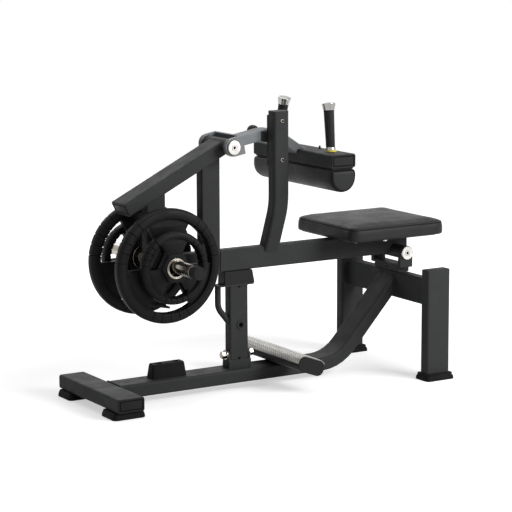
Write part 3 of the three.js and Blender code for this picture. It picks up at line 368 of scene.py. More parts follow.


# Finishes: every one has its own colour drift, grain, roughness drift and edge wear, whose lighter
# colour is partly a painted highlight
class Tree:
    """The nodes of a material or a world, added and linked in one call each."""

    def __init__(self, owner):
        owner.use_nodes = True
        self.owner = owner
        self.nodes, self.links = owner.node_tree.nodes, owner.node_tree.links
        self.place = self.add("ShaderNodeTexCoord").outputs["Object"]

    def add(self, kind, inputs=None, **settings):
        node = self.nodes.new(kind)
        for key, value in settings.items():
            setattr(node, key, value)
        for key, value in (inputs or {}).items():
            self.feed(node.inputs[key], value)
        return node

    def feed(self, socket, value):
        if isinstance(value, bpy.types.NodeSocket):
            self.links.new(value, socket)
        else:
            socket.default_value = value

    def noise(self, scale, detail=3, rough=0.5, place=None):
        inputs = {"Vector": place or self.place, "Scale": scale, "Detail": detail, "Roughness": rough}
        return self.add("ShaderNodeTexNoise", inputs).outputs["Fac"]

    def span(self, value, low, high, out_low, out_high):
        names = ("Value", "From Min", "From Max", "To Min", "To Max")
        inputs = dict(zip(names, (value, low, high, out_low, out_high)))
        return self.add("ShaderNodeMapRange", inputs).outputs["Result"]

    def drift(self, out_low, out_high, *noise):
        """A noise whose middle band is spread over the given range."""
        return self.span(self.noise(*noise), noise_low, noise_high, out_low, out_high)

    def sum(self, a, b, operation="ADD"):
        return self.add("ShaderNodeMath", {0: a, 1: b}, operation=operation).outputs[0]

    def mix(self, share, a, b):
        return self.add("ShaderNodeMix", {0: share, 6: a, 7: b}, data_type="RGBA").outputs[2]

    def bump(self, height, distance, strength=1, under=None):
        inputs = {"Height": height, "Distance": distance, "Strength": strength}
        if under is not None:
            inputs["Normal"] = under
        return self.add("ShaderNodeBump", inputs).outputs["Normal"]

    def edges(self, radius, low=0.01, high=0.12):
        """A share that rises to 1 on outer edges, where the colour is lightened as wear and as a painted
        highlight.
        """
        bevel = self.add("ShaderNodeBevel", {"Radius": radius}, samples=6).outputs["Normal"]
        flat = self.add("ShaderNodeNewGeometry").outputs["Normal"]
        facing = self.add("ShaderNodeVectorMath", {0: bevel, 1: flat}, operation="DOT_PRODUCT")
        share = self.span(self.sum(1.0, facing.outputs["Value"], "SUBTRACT"), low, high, 0, 1)
        patches = self.noise(patch_scale, 4)
        patches = self.span(patches, patch_low, patch_high, patch_least, 1)
        return self.sum(share, patches, "MULTIPLY")

    def direct(self):
        """1 where a ray comes straight from the camera, a mirror or glass."""
        rays = self.add("ShaderNodeLightPath").outputs
        mirrored = self.sum(rays["Is Camera Ray"], rays["Is Glossy Ray"])
        return self.sum(mirrored, rays["Is Transmission Ray"])

    def done(self, **inputs):
        for name, value in inputs.items():
            if value is not None:
                self.feed(self.nodes["Principled BSDF"].inputs[name.replace("_", " ")], value)
        return self.owner


def grey(level, tint=0.0):
    return (level * (1 - tint), level, level * (1 + tint), 1)


def scaled(colour, share):
    return tuple(c * share for c in colour[:3]) + (1,)


def finish(name, colour, rough, metal=0.0, specular=0.3, drift=0.12, drift_scale=7, rough_drift=0.08,
           grain=((900, 0.05),), wear_and_highlight=None, wear_and_highlight_share=0.5, edge=1.5, streak=None):
    """A plain surface: colour drift, one or more grains of (scale, height in mm), edges lightened as
    wear and as a painted highlight.
    """
    tree = Tree(bpy.data.materials.new(name))
    wide = tree.drift(0, 1, drift_scale, 4, 0.6)
    shade = tree.mix(wide, scaled(colour, 1 - drift), scaled(colour, 1 + drift))
    gloss = tree.drift(rough - rough_drift, rough + rough_drift, drift_scale * 3, 5)
    if streak:
        stretch = tree.add("ShaderNodeMapping", {"Vector": tree.place, "Scale": streak})
        lines = tree.drift(-rough_drift, rough_drift, 40, 3, 0.6, stretch.outputs["Vector"])
        gloss = tree.sum(gloss, lines)
    if wear_and_highlight:
        # Outer edges take the lighter colour: wear, and a painted highlight along them.
        share = tree.sum(tree.edges(edge * MM), wear_and_highlight_share, "MULTIPLY")
        shade = tree.mix(share, shade, wear_and_highlight)
        gloss = tree.sum(gloss, tree.sum(share, -worn_smoother, "MULTIPLY"))
    normal = None
    for scale, height in grain:
        normal = tree.bump(tree.noise(scale, 2), height * MM, 1, normal)
    return tree.done(Base_Color=shade, Roughness=gloss, Normal=normal, Metallic=metal,
                     Specular_IOR_Level=specular)


def leather(name, colour, rough):
    """Upholstery vinyl: pebbled grain with painted shade between the pebbles, soft creases and a faint
    sheen.
    """
    tree = Tree(bpy.data.materials.new(name))
    stir = {0: tree.noise(stir_scale, 2), "Scale": stir_far}
    offset = tree.add("ShaderNodeVectorMath", stir, operation="SCALE")
    moved = tree.add("ShaderNodeVectorMath", {0: tree.place, 1: offset.outputs[0]}, operation="ADD")
    inputs = {"Vector": moved.outputs[0], "Scale": pebble_scale}
    cells = tree.add("ShaderNodeTexVoronoi", inputs, feature="DISTANCE_TO_EDGE").outputs["Distance"]
    pebble = tree.span(cells, 0, pebble_edge, 0, 1)
    normal = tree.bump(tree.noise(crease_scale, 4, 0.55), crease_high, crease_strength)
    normal = tree.bump(pebble, pebble_high, pebble_strength, normal)
    wide = tree.drift(0, 1, 6, 4)
    shade = tree.mix(wide, scaled(colour, 1 - vinyl_drift), scaled(colour, 1 + vinyl_drift))
    # The grooves between the pebbles are darkened: painted shade.
    pit = tree.span(cells, 0, pit_edge, pit_share, 0)
    shade = tree.mix(pit, shade, scaled(colour, pit_shade))
    gloss = tree.drift(rough - 0.06, rough + 0.08, 14, 4)
    return tree.done(Base_Color=shade, Roughness=gloss, Normal=normal, Specular_IOR_Level=0.14,
                     Sheen_Weight=0.03, Sheen_Roughness=0.4)


paint = finish("frame_paint", grey(0.041, 0.02), 0.54, specular=0.07, drift=0.07,
               grain=((1100, 0.035), (260, 0.03)), wear_and_highlight=grey(0.2, 0.01), edge=2.2)
arm_paint = finish("arm_paint", grey(0.22, 0.045), 0.5, specular=0.1, drift=0.06,
                   grain=((1100, 0.03), (260, 0.03)), wear_and_highlight=grey(0.42, 0.02), wear_and_highlight_share=0.35)
plastic = finish("black_plastic", grey(0.018, 0.01), 0.5, specular=0.1,
                 grain=((1500, 0.05), (420, 0.03)), wear_and_highlight=grey(0.075), wear_and_highlight_share=0.4)
rubber = finish("black_rubber", grey(0.01), 0.65, specular=0.07, drift=0.18,
                grain=((700, 0.06), (190, 0.05)), wear_and_highlight=grey(0.06))
plate_rubber = finish("plate_rubber", grey(0.007, 0.015), 0.5, specular=0.1, drift=0.2,
                      grain=((620, 0.07), (150, 0.06)), wear_and_highlight=grey(0.055), wear_and_highlight_share=0.55, edge=2.5)
chrome = finish("chrome", (0.37, 0.365, 0.35, 1), 0.16, metal=1.0, specular=0.5, drift=0.05,
                rough_drift=0.05, grain=((340, 0.006),), streak=(1, 12, 1))
bright_steel = finish("bright_steel", (0.56, 0.55, 0.53, 1), 0.32, metal=1.0, specular=0.5,
                      drift=0.08, grain=((800, 0.012),), streak=(9, 9, 9))
dark_steel = finish("dark_steel", (0.32, 0.295, 0.255, 1), 0.2, metal=1.0, specular=0.5, drift=0.08,
                    drift_scale=12, rough_drift=0.05, grain=((400, 0.008),), streak=(6, 1, 6))
tread_metal = finish("tread_aluminium", (0.3, 0.29, 0.27, 1), 0.42, metal=0.7, specular=0.4,
                     drift=0.16, drift_scale=34, grain=((900, 0.06), (230, 0.05)), wear_and_highlight=grey(0.75))
yellow = finish("yellow_band", (0.62, 0.5, 0.06, 1), 0.45, drift=0.1, drift_scale=30,
                grain=((1200, 0.03),))
# Near-black: the colour of black bolts, pegs, rings, screws and lid lines, and painted shade in holes,
# sockets, grooves and seams.
dark = finish("black_and_painted_shade", grey(0.006), 0.85, specular=0.1, drift=0.2, grain=((500, 0.05),))
vinyl = leather("vinyl", grey(0.019, 0.015), 0.45)


# Making pieces
def show(name, shape, body, *looks, stands_for=None):
    """The shape becomes a smooth piece that rides on the body; NODE_shown stands for the node."""
    mesh = bpy.data.meshes.new(name)
    bmesh.ops.recalc_face_normals(shape, faces=shape.faces)
    shape.to_mesh(mesh)
    shape.free()
    mesh.shade_smooth()
    mesh.set_sharp_from_angle(angle=smooth_angle)
    for look in looks:
        mesh.materials.append(look)
    piece = bpy.data.objects.new(name, mesh)
    scene.collection.objects.link(piece)
    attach(piece, body)
    if name.endswith("_shown"):
        stands_for = name.removesuffix("_shown")
    if stands_for:
        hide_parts(stands_for)
    return piece


def rounded_edges(piece, width, limit="ANGLE"):
    bevel = piece.modifiers.new("Edges", "BEVEL")
    bevel.width = width
    bevel.segments = edge_steps
    bevel.limit_method = limit
    bevel.angle_limit = bevel_angle
    weighted = piece.modifiers.new("Normals", "WEIGHTED_NORMAL")
    weighted.weight = normal_weight
    return piece


def dress(node, look, corner=corner_round, crisp=crisp_edge):
    """A CAD node's own shape with its corners rounded: wide ones softly, cut ends crisply."""
    shape = bmesh.new()
    shape.from_mesh(frame["nodes"][node].data)
    bmesh.ops.remove_doubles(shape, verts=shape.verts, dist=join_distance)
    bmesh.ops.dissolve_limit(shape, angle_limit=flat_angle, verts=shape.verts, edges=shape.edges)
    weight = shape.edges.layers.float.new("bevel_weight_edge")
    for edge in shape.edges:
        turn = edge.calc_face_angle(0)
        if turn > crisp_angle:
            edge[weight] = crisp / corner
        elif turn > soft_angle:
            edge[weight] = 1
    piece = show(node + "_shown", shape, body_of(node), look)
    piece.data.shade_smooth()
    return rounded_edges(piece, corner, "WEIGHT")


def skinned(shape, rows, closed=False, shift=0):
    """Adds quads between rows of as many points each; the last of a closed skin meets the first."""
    made = [[shape.verts.new(point) for point in row] for row in rows]
    pairs = list(zip(made, made[1:]))
    if closed:
        pairs.append((made[-1], made[0][shift:] + made[0][:shift]))
    for lower, upper in pairs:
        for corners in zip(lower, lower[1:] + lower[:1], upper[1:] + upper[:1], upper):
            shape.faces.new(corners)
    return made


def basis(axis, up=None):
    """A turn that takes +Z to the axis, and +X as near as it can to up."""
    axis = Vector(axis).normalized()
    side = Vector(up) if up is not None else (X if abs(axis.x) < 0.9 else Y)
    side = (side - axis * side.dot(axis)).normalized()
    return Matrix((side, axis.cross(side), axis)).transposed()


def corner_arc(before, at, after, reach, steps):
    """Points that round the corner at the middle place."""
    start = at + (before - at).normalized() * reach
    end = at + (after - at).normalized() * reach
    shares = [step / steps for step in range(steps + 1)]
    return [start * (1 - t) ** 2 + at * 2 * t * (1 - t) + end * t**2 for t in shares]


def softened(profile, round_off):
    """The profile with each corner between its ends rounded."""
    points = [Vector(p) for p in profile]
    made = [points[0]]
    for before, at, after in zip(points, points[1:], points[2:]):
        reach = min(round_off, (before - at).length / 2, (after - at).length / 2)
        made += corner_arc(before, at, after, reach, fillet_steps)
    made.append(points[-1])
    return made


def disc(radius, low, high):
    """A plain disc's or rod's profile."""
    return [(0, low), (radius, low), (radius, high), (0, high)]


def hollow(inner, outer, low, high):
    """A ring's or tube's profile."""
    return [(inner, low), (outer, low), (outer, high), (inner, high), (inner, low)]


def turned_shape(shape, profile, place, axis, steps=turned_steps, look=0):
    """Adds a solid of revolution to the shape; the profile is (radius, height) pairs."""
    turn = basis(axis)
    rows = []
    for radius, height in profile:
        angles = [2 * math.pi * k / steps for k in range(1 if radius < join_distance else steps)]
        points = [Vector((radius * math.cos(a), radius * math.sin(a), height)) for a in angles]
        rows.append([shape.verts.new(place + turn @ p) for p in points])
    for lower, upper in zip(rows, rows[1:]):
        for k in range(steps):
            ring_ends = [lower[k % len(lower)], lower[(k + 1) % steps % len(lower)]]
            tops = [upper[(k + 1) % steps % len(upper)], upper[k % len(upper)]]
            corners = list(dict.fromkeys(ring_ends + tops))
            if len(corners) > 2:
                shape.faces.new(corners).material_index = look
    return shape


def turned(name, profile, place, axis, body, *looks, stands_for=None, round_off=0.0, **more):
    path = softened(profile, round_off) if round_off else [Vector(p) for p in profile]
    shape = turned_shape(bmesh.new(), path, place, axis, **more)
    return show(name, shape, body, *looks, stands_for=stands_for)


def bent(before, at, after, radius, steps=8):
    """A line of three places with the corner between them rounded to the radius."""
    ways = [(before - at).normalized(), (after - at).normalized()]
    half = ways[0].angle(ways[1]) / 2
    centre = at + (ways[0] + ways[1]).normalized() * (radius / math.sin(half))
    start, end = ((at + way * (radius / math.tan(half)) - centre).normalized() for way in ways)
    arc = [centre + start.slerp(end, step / steps) * radius for step in range(steps + 1)]
    return [before, *arc, after]


def tube_shape(path, radius, sides, closed=False):
    """A round tube along the path; radius may be a function of the place in the path."""
    count = len(path)
    size = radius if callable(radius) else lambda k: radius
    rows = []
    side = None
    for k, at in enumerate(path):
        ahead = path[(k + 1) % count] if closed or k + 1 < count else at
        behind = path[k - 1] if closed or k else at
        along = (ahead - behind).normalized()
        if side is None:
            side = basis(along) @ X
        side = (side - along * side.dot(along)).normalized()
        up = along.cross(side)
        turns = [2 * math.pi * s / sides for s in range(sides)]
        rows.append([at + (side * math.cos(t) + up * math.sin(t)) * size(k) for t in turns])
    shape = bmesh.new()
    shift = min(range(sides), key=lambda s: (rows[0][s] - rows[-1][0]).length)
    made = skinned(shape, rows, closed, shift)
    if not closed:
        shape.faces.new(made[0])
        shape.faces.new(made[-1])
    return shape


def spaced(path, step, closed=False):
    """Points along a path at one even spacing."""
    points = list(path) + ([path[0]] if closed else [])
    lengths = [(b - a).length for a, b in zip(points, points[1:])]
    total = sum(lengths)
    count = max(2, round(total / step))
    made = []
    run, index = 0.0, 0
    for k in range(count if closed else count + 1):
        want = min(total * k / count, total * (1 - 1e-9))
        while run + lengths[index] < want:
            run += lengths[index]
            index += 1
        share = (want - run) / lengths[index]
        made.append(points[index].lerp(points[index + 1], share))
    return made


def box_outline(wide, high, corner, steps=6):
    """A rounded rectangle about the origin as 2-D points, against the clock."""
    points = []
    for turn, (sx, sy) in enumerate(((1, 1), (-1, 1), (-1, -1), (1, -1))):
        centre = Vector((sx * (wide / 2 - corner), sy * (high / 2 - corner)))
        for step in range(steps + 1):
            angle = math.pi / 2 * (turn + step / steps)
            points.append(centre + corner * Vector((math.cos(angle), math.sin(angle))))
    return points


def outline_at(outline, place, across, up):
    """A 2-D outline as 3-D points on a plane."""
    return [Vector(place) + Vector(across) * p[0] + Vector(up) * p[1] for p in outline]


def slab(name, outlines, low, high, place, axis, up, body, look, edge):
    """A flat plate of the outlines, holes included, between two heights along the axis."""
    curve = bpy.data.curves.new(name, "CURVE")
    curve.dimensions = "2D"
    curve.fill_mode = "BOTH"
    curve.extrude = (high - low) / 2 - edge
    curve.bevel_depth = edge
    curve.bevel_resolution = 2
    curve.offset = -edge
    for outline in outlines:
        spline = curve.splines.new("POLY")
        spline.points.add(len(outline) - 1)
        for point, at in zip(spline.points, outline):
            point.co = (at[0], at[1], 0, 1)
        spline.use_cyclic_u = True
    drawn = bpy.data.objects.new(name, curve)
    scene.collection.objects.link(drawn)
    mesh = baked(drawn)
    bpy.data.objects.remove(drawn)
    bpy.data.curves.remove(curve)
    lift = Matrix.Translation(Vector(place) + Vector(axis) * (low + high) / 2)
    mesh.transform(lift @ basis(axis, up).to_4x4())
    shape = bmesh.new()
    shape.from_mesh(mesh)
    bpy.data.meshes.remove(mesh)
    bmesh.ops.remove_doubles(shape, verts=shape.verts, dist=join_distance)
    show(name, shape, body, look)


def baked(piece):
    """The piece's mesh with its modifiers applied."""
    graph = bpy.context.evaluated_depsgraph_get()
    return bpy.data.meshes.new_from_object(piece.evaluated_get(graph))


def lofted(name, levels, place, axis, across, body, look):
    """A solid skinned over outlines of as many points each, given with their heights."""
    turn = basis(axis, across)
    shape = bmesh.new()
    made = skinned(shape, [
        [Vector(place) + turn @ Vector((p[0], p[1], height)) for p in outline]
        for outline, height in levels
    ])
    shape.faces.new(made[0])
    shape.faces.new(made[-1])
    show(name, shape, body, look)


def end_cap(node, wide, high, place, axis, across, body):
    """A tube's end cap: a rounded lip round a sunk panel, with painted shade in the seam groove round
    the panel.
    """
    def level(inset, corner=lip_corner):
        return box_outline(wide - 2 * inset, high - 2 * inset, corner)

    foot = lip_thick - panel_deep
    rounding = lip_round * lip_round_share
    panel_edge_at = lip_wide + lip_slope
    levels = [
        (level(seam_groove), 0),
        (level(seam_groove), seam_groove),
        (level(0), seam_slope_share * seam_groove),
        (level(0), lip_thick - lip_round),
        (level(rounding), lip_thick - rounding),
        (level(lip_round), lip_thick),
        (level(lip_wide, lip_corner_inside), lip_thick),
        (level(panel_edge_at, panel_corner), foot),
    ]
    lofted(node + "_shown", levels, place, axis, across, body, plastic)
    slab(node + "_panel", [level(panel_in, panel_corner)], foot - sunk, foot + panel_high,
         place, axis, across, body, plastic, fine_round)
    # The seam ring at the groove's foot is near-black: painted shade in the groove.
    seam = [level(panel_edge_at + seam_lap, panel_corner), level(panel_in - panel_gap, panel_corner)]
    slab(node + "_seam", seam, foot - seam_under, foot + seam_lap, place, axis, across, body,
         dark, seam_edge)


def bolt(name, place, axis, body, look=bright_steel, size=1.0, high=bolt_high):
    """A chamfered hexagon head on a washer, standing on a face."""
    shape = bmesh.new()
    foot = washer_thick * size
    washer = disc(washer_radius * size, 0, foot)
    turned_shape(shape, softened(washer, bolt_edge), place, axis, steps=washer_steps)
    head, chamfer = bolt_head * size, bolt_chamfer * size
    top = foot + high * size
    profile = [(0, foot), (head, foot), (head, top - chamfer), (head - 2 * chamfer, top), (0, top)]
    turned_shape(shape, profile, place, axis, steps=6)
    return rounded_edges(show(name, shape, body, look), bolt_edge)


def bead(name, path, body):
    """A rippled weld bead along a closed path."""
    def size(k):
        wave = math.sin(2 * math.pi * k / bead_ripples_each)
        return bead_radius * (1 + bead_ripple_share * wave)

    shape = tube_shape(spaced(path, bead_step, closed=True), size, bead_sides, closed=True)
    return show(name, shape, body, paint)


# Frame tubes, caps and rubber keep the CAD's shapes
painted = (
    "front_crossbar base_tube rear_crossbar rear_leg_near rear_leg_far rear_clevis post_bracket"
    " support_post main_beam weight_beam upright hanger seat_frame rack_plate pad_crossbeam"
).split()
for node in painted:
    dress(node, paint)
dress("rack_post", paint, rack_corner)
dress("footrest_tube", paint, step_edge)
dress("arm_yoke", arm_paint, yoke_corner, yoke_crisp)
dress("arm_tube", arm_paint)
for end, side in ends:
    dress("footrest_cap_" + end, plastic, step_edge)
    dress("rear_boot_" + end, rubber, rubber_corner, boot_crisp)
    for node in ("front_crossbar_cap_" + end, "crossbeam_cap_" + end):
        low, high, place = span(node)
        place.y = (high.y if side > 0 else low.y) - side * lip_thick
        end_cap(node, high.x - low.x, high.z - low.z, place, Y * side, X, body_of(node))
    node = "front_foot_" + end
    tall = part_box(node)[1].z
    long, wide = foot_rear - foot_front, foot_outer - foot_inner
    place = ((foot_front + foot_rear) / 2 + front_face, side * (foot_outer + foot_inner) / 2, 0)
    levels = [
        (box_outline(long - 2 * inset, wide - 2 * inset, foot_corner - inset), tall * share + more)
        for inset, share, more in foot_levels
    ]
    lofted(node + "_shown", levels, place, Z, X, "base", rubber)
slope = Vector((math.cos(slope_angle), 0, math.sin(slope_angle)))
beam_end = mid("top_pivot_tube") - slope * (weight_beam_reach + seat_gap)
end_cap("weight_beam_cap", base_wide - 2 * weight_cap_inset, weight_beam_thick - 2 * weight_cap_inset,
        beam_end, -slope, Y, "swing")

# The hanger runs down to a slanted foot plate, and the main beam runs on to meet it
hanger_low, hanger_high, hanger_mid = span("hanger")
for vertex in bpy.data.objects["hanger_shown"].data.vertices:
    if vertex.co.z < hanger_low.z + hanger_end:
        rise = (hanger_mid.x - vertex.co.x) * math.tan(hanger_tilt)
        vertex.co.z += hanger_foot_z - hanger_low.z + rise
outline = box_outline(
    hanger_high.x - hanger_low.x + 2 * hanger_plate_over,
    hanger_high.y - hanger_low.y + 2 * hanger_plate_over,
    beam_corner,
)
tilted = Vector((math.sin(hanger_tilt), 0, math.cos(hanger_tilt)))
slab("hanger_plate", [outline], -hanger_plate, 0, (hanger_mid.x, 0, hanger_foot_z), tilted, X,
     "swing", paint, panel_edge)
beam_low, beam_high, beam_mid = span("main_beam")
beam_section = box_outline(beam_high.y - beam_low.y, beam_high.z - beam_low.z, beam_corner)
beam_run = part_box("upright")[0].x - hanger_high.x
lofted("main_beam_front", [(beam_section, 0), (beam_section, beam_run)],
       (hanger_high.x, 0, beam_mid.z), X, Y, "swing", paint)

# The post's cap leans in at its rear
cap_piece = dress("post_cap", plastic, rubber_corner, block_crisp)
cap_low, cap_high, cap_mid = span("post_cap")
for vertex in cap_piece.data.vertices:
    if vertex.co.x > cap_mid.x:
        vertex.co.x -= cap_taper * (vertex.co.z - cap_low.z) / (cap_high.z - cap_low.z)

# Lids on the rear legs, and the pedestal's vent, a near-black disc of painted shade
for end, side in ends:
    low, high, place = span("rear_leg_" + end)
    place.z = high.z
    lid = box_outline(high.x - low.x - 2 * lid_inset, high.y - low.y - 2 * lid_inset, lid_inset)
    line = tube_shape(outline_at(lid, place, X, Y), lid_line, lid_sides, closed=True)
    show(f"rear_leg_lid_{end}", line, "base", dark)
bar_low, bar_high, bar_mid = span("rear_crossbar")
# The vent is a near-black disc: painted shade in its opening.
turned("pedestal_vent", disc(vent_radius, -sunk, mark_proud),
       Vector((bar_low.x, 0, bar_high.z + vent_rise)), -X, "base", dark)

# The stop block flares towards its foot
stop_piece = dress("stop_bumper", rubber, rubber_corner, block_crisp)
stop_low, stop_high, stop_mid = span("stop_bumper")
for vertex in stop_piece.data.vertices:
    share = (stop_high.z - vertex.co.z) / (stop_high.z - stop_low.z)
    for axis in (0, 1):
        vertex.co[axis] += math.copysign(stop_flare * share, vertex.co[axis] - stop_mid[axis])
dress("seat_board", plastic)
dress("knee_pad_board", plastic)

# Pivots: high-resolution tubes and bright caps with a socket, whose rim, ring and socket carry painted
# shade
for node in ("rear_pivot_tube", "top_pivot_tube"):
    low, high, place = span(node)
    radius, half = (high.z - low.z) / 2, (high.y - low.y) / 2
    turned(node + "_shown", hollow(radius - pivot_wall, radius, -half, half), place, Y,
           body_of(node), paint, round_off=slight_round)
for pivot in ("rear", "top"):
    shaft, cap = pivot + "_pivot_shaft", pivot + "_pivot_cap"
    body = body_of(shaft)
    low, high, centre = span(cap)
    near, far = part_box(shaft)[0].y, high.y
    radius = high.z - centre.z
    thick = far - low.y
    centre.y = 0
    for side, face, node in ((-1, -near, shaft), (1, far, cap)):
        inner, foot, bottom = face - thick, face - thick - shaft_in, face - cap_socket_deep
        rim_inner = (cap_ring + cap_ring_wide, face)
        ring_line = [rim_inner, (cap_ring + cap_ring_wide / 2, face - cap_ring_deep), (cap_ring, face)]
        mouth = (cap_socket, face - cap_socket_slope)
        outer = softened([(radius, inner), (radius, face), rim_inner], cap_round)
        under = [(0, foot), (shaft_radius, foot), (shaft_radius, inner)]
        shape = bmesh.new()
        # The cap's rim and ring groove take the darker steel and its socket the near-black: painted
        # shade.
        for path, look in (
            (under + outer[:-1], 2),
            (outer[-2:], 0),
            (ring_line, 2),
            ([ring_line[-1], (cap_socket + cap_socket_slope, face), mouth], 0),
            ([mouth, (cap_socket, bottom), (0, bottom)], 1),
        ):
            turned_shape(shape, path, centre, Y * side, look=look)
        bmesh.ops.remove_doubles(shape, verts=shape.verts, dist=join_distance)
        show(node + "_shown", shape, body, bright_steel, dark, dark_steel)
    turned(pivot + "_pivot_rod", disc(shaft_radius, near + thick, far - thick), centre, Y, body,
           bright_steel)

# Horns with flange, and their caps
for end, side in ends:
    node, cap = "horn_" + end, "horn_cap_" + end
    low, high, centre = span(node)
    centre.y = 0
    root, tip = sorted((abs(low.y), abs(high.y)))
    flange, inner = (high.z - low.z) / 2, horn_radius - horn_wall
    profile = [
        (inner, root),
        (horn_radius, root),
        (horn_radius, flange_out - flange_thick),
        (flange, flange_out - flange_thick),
        (flange, flange_out),
        (horn_radius, flange_out),
        (horn_radius, tip),
        (inner, tip),
    ]
    turned(node + "_shown", profile, centre, Y * side, "swing", dark_steel,
           round_off=soft_round)
    outer = max(abs(corner.y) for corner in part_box(cap))
    plug = inner - horn_cap_gap
    profile = [
        (0, tip - horn_cap_deep),
        (plug, tip - horn_cap_deep),
        (plug, tip + mark_proud),
        (horn_radius, tip + mark_proud),
        (horn_radius, outer),
        (groove_outer, outer),
        (groove_mid, outer - groove_sunk),
        (groove_inner, outer - mark_proud),
        (0, outer - mark_proud),
    ]
    turned(cap + "_shown", profile, centre, Y * side, "swing", plastic,
           round_off=horn_cap_round)


# Plates
def rim_places(radius, grips):
    """(angle, groove depth) round the rim, closer together over the grooves."""
    wide = math.degrees(groove_wide / radius)
    taken = []
    for middle in grips:
        for k in range(groove_count):
            at = middle + groove_spread * (k / (groove_count - 1) - 0.5)
            taken += [(at + share * wide, depth * groove_deep) for share, depth in groove_profile]
    plain = [(k * plain_step, 0.0) for k in range(round(360 / plain_step))]
    clear = [
        (at, depth) for at, depth in plain
        if all(abs((at - m + 180) % 360 - 180) > groove_clear * wide for m, _ in taken)
    ]
    return sorted((a % 360, d) for a, d in taken + clear)


def rim_shape(size, centre, turn):
    radius, rim, half = size["radius"], size["rim"], size["half"]
    section = [(out, -thick) for out, thick in rim_profile] + list(reversed(rim_profile))
    rows = []
    for angle, depth in rim_places(radius, size["grips"]):
        direction = on_circle(1, angle).to_3d()
        ring = []
        for out, thick in section:
            reach = radius - rim + out * rim + depth * (1 - 2 * out)
            height = (half - depth) * thick
            ring.append(centre + turn @ (direction * reach + Z * height))
        rows.append(ring)
    shape = bmesh.new()
    skinned(shape, rows, closed=True)
    return shape


def on_circle(reach, angle):
    turn = math.radians(angle)
    return Vector((reach * math.cos(turn), reach * math.sin(turn)))


def circle(reach, count):
    return [on_circle(reach, 360 * k / count) for k in range(count)]


def arc_points(reach, middle, half, steps):
    """An arc about a middle angle, against its sense, with as many steps to either side."""
    return [on_circle(reach, middle + half * (1 - k / steps)) for k in range(2 * steps + 1)]


def rounded_polygon(corners, round_off, steps=fillet_steps):
    """A closed outline with each corner rounded over less than half of its sides."""
    made = []
    for k, at in enumerate(corners):
        before, after = corners[k - 1], corners[(k + 1) % len(corners)]
        reach = min(round_off, *((end - at).length / polygon_reach for end in (before, after)))
        made += corner_arc(before, at, after, reach, steps)
    return made


def grip_outline(size, middle):
    """The opening behind one grip: an arc under the rim, a flat over the hub."""
    outer = size["radius"] - size["rim"] + grip_under_rim
    inner = size["hub"] * math.cos(math.radians(hub_facet / 2)) + grip_over_hub
    side = inner / math.cos(math.radians(grip_half))
    arc = arc_points(outer, middle, grip_half, grip_arc_steps)
    corners = [on_circle(side, middle + grip_half), arc[0], arc[-1], on_circle(side, middle - grip_half)]
    soft = rounded_polygon(corners, grip_round)
    per = len(soft) // 4
    straight = math.radians(grip_half - grip_in)
    inside = [p for p in arc if abs(p.angle_signed(arc[grip_arc_steps])) < straight]
    return soft[: 2 * per] + inside + soft[2 * per :]


def spoke_panel(size, middle):
    """A raised panel on the spoke opposite a grip."""
    outer = size["radius"] - size["rim"] - panel_inset
    inner = size["hub"] + panel_inset
    half = hub_facet - grip_half
    edge_out = math.degrees(panel_inset / outer)
    edge_in = math.degrees(panel_inset / inner)
    corners = [on_circle(inner, middle + half - edge_in)]
    corners += arc_points(outer, middle, half - edge_out, panel_arc_steps)
    corners += [on_circle(inner, middle - half + edge_in)]
    return rounded_polygon(corners, panel_round, fine_steps)


def plate(name, size, side):
    centre = mid(name)
    axis = Y * side
    body = body_of(name)
    half, web = size["half"], size["web"] / 2

    def layer(word, outlines, reach, edge):
        slab(f"{name}_{word}", outlines, -reach, reach, centre, axis, X, body, plate_rubber, edge)

    show(name + "_rim", rim_shape(size, centre, basis(axis, X)), body, plate_rubber,
         stands_for=name)
    bore = circle(rings["outer"] - hub_drop, bore_steps)
    grips = [grip_outline(size, m) for m in size["grips"]]
    edge = circle(size["radius"] - size["rim"] + web_in_rim, web_steps)
    layer("web", [edge, bore, *grips], web, plate_edge)
    hub = rounded_polygon(circle(size["hub"], 6), hub_round, fine_steps)
    layer("hub", [hub, bore], half - hub_drop, plate_edge)
    for k, middle in enumerate(size["grips"]):
        layer(f"panel_{k}", [spoke_panel(size, middle + 180)], web + panel_proud, panel_edge)
    profile = [
        (rings["bore"], hub_drop - half),
        (rings["outer"], hub_drop - half),
        (rings["outer"], half - ring_bevel),
        (rings["outer"] - hub_drop, half),
        (rings["step"], half),
        (rings["step"], half - ring_step_deep),
        (rings["inner"], half - ring_step_deep),
        (rings["inner"], half - ring_drop),
        (rings["bore"], half - ring_drop),
        (rings["bore"], hub_drop - half),
    ]
    turned(name + "_ring", profile, centre, axis, body, dark_steel, round_off=fine_round)


for end, side in ends:
    for word, sizes in plates.items():
        name = f"{word}_plate_{end}"
        low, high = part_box(name)
        radius, half = (high.x - low.x) / 2, (high.y - low.y) / 2
        # Looked at along its own axis, a far plate's angles run backwards
        grips = [-side * middle for middle in grip_middles]
        plate(name, {**sizes, "radius": radius, "half": half, "grips": grips}, side)

# Footrest tread: a bent sheet with raised lozenges
step_at = mid("footrest_cap_near")
step_at.y = 0
tread_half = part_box("footrest_tread")[1].y


def tread_path(offset, steps=8):
    """The tread's line over the top of the step tube, from its front down to its rear end."""
    w, h, c = step_wide / 2, step_thick / 2, step_corner
    points = [Vector((-w - offset, c - h))]
    for x, start, end in ((c - w, math.pi, math.pi / 2), (w - c, math.pi / 2, tread_end)):
        for k in range(steps + 1):
            angle = start + (end - start) * k / steps
            points.append(Vector((x, h - c)) + Vector((math.cos(angle), math.sin(angle))) * (c + offset))
    return points


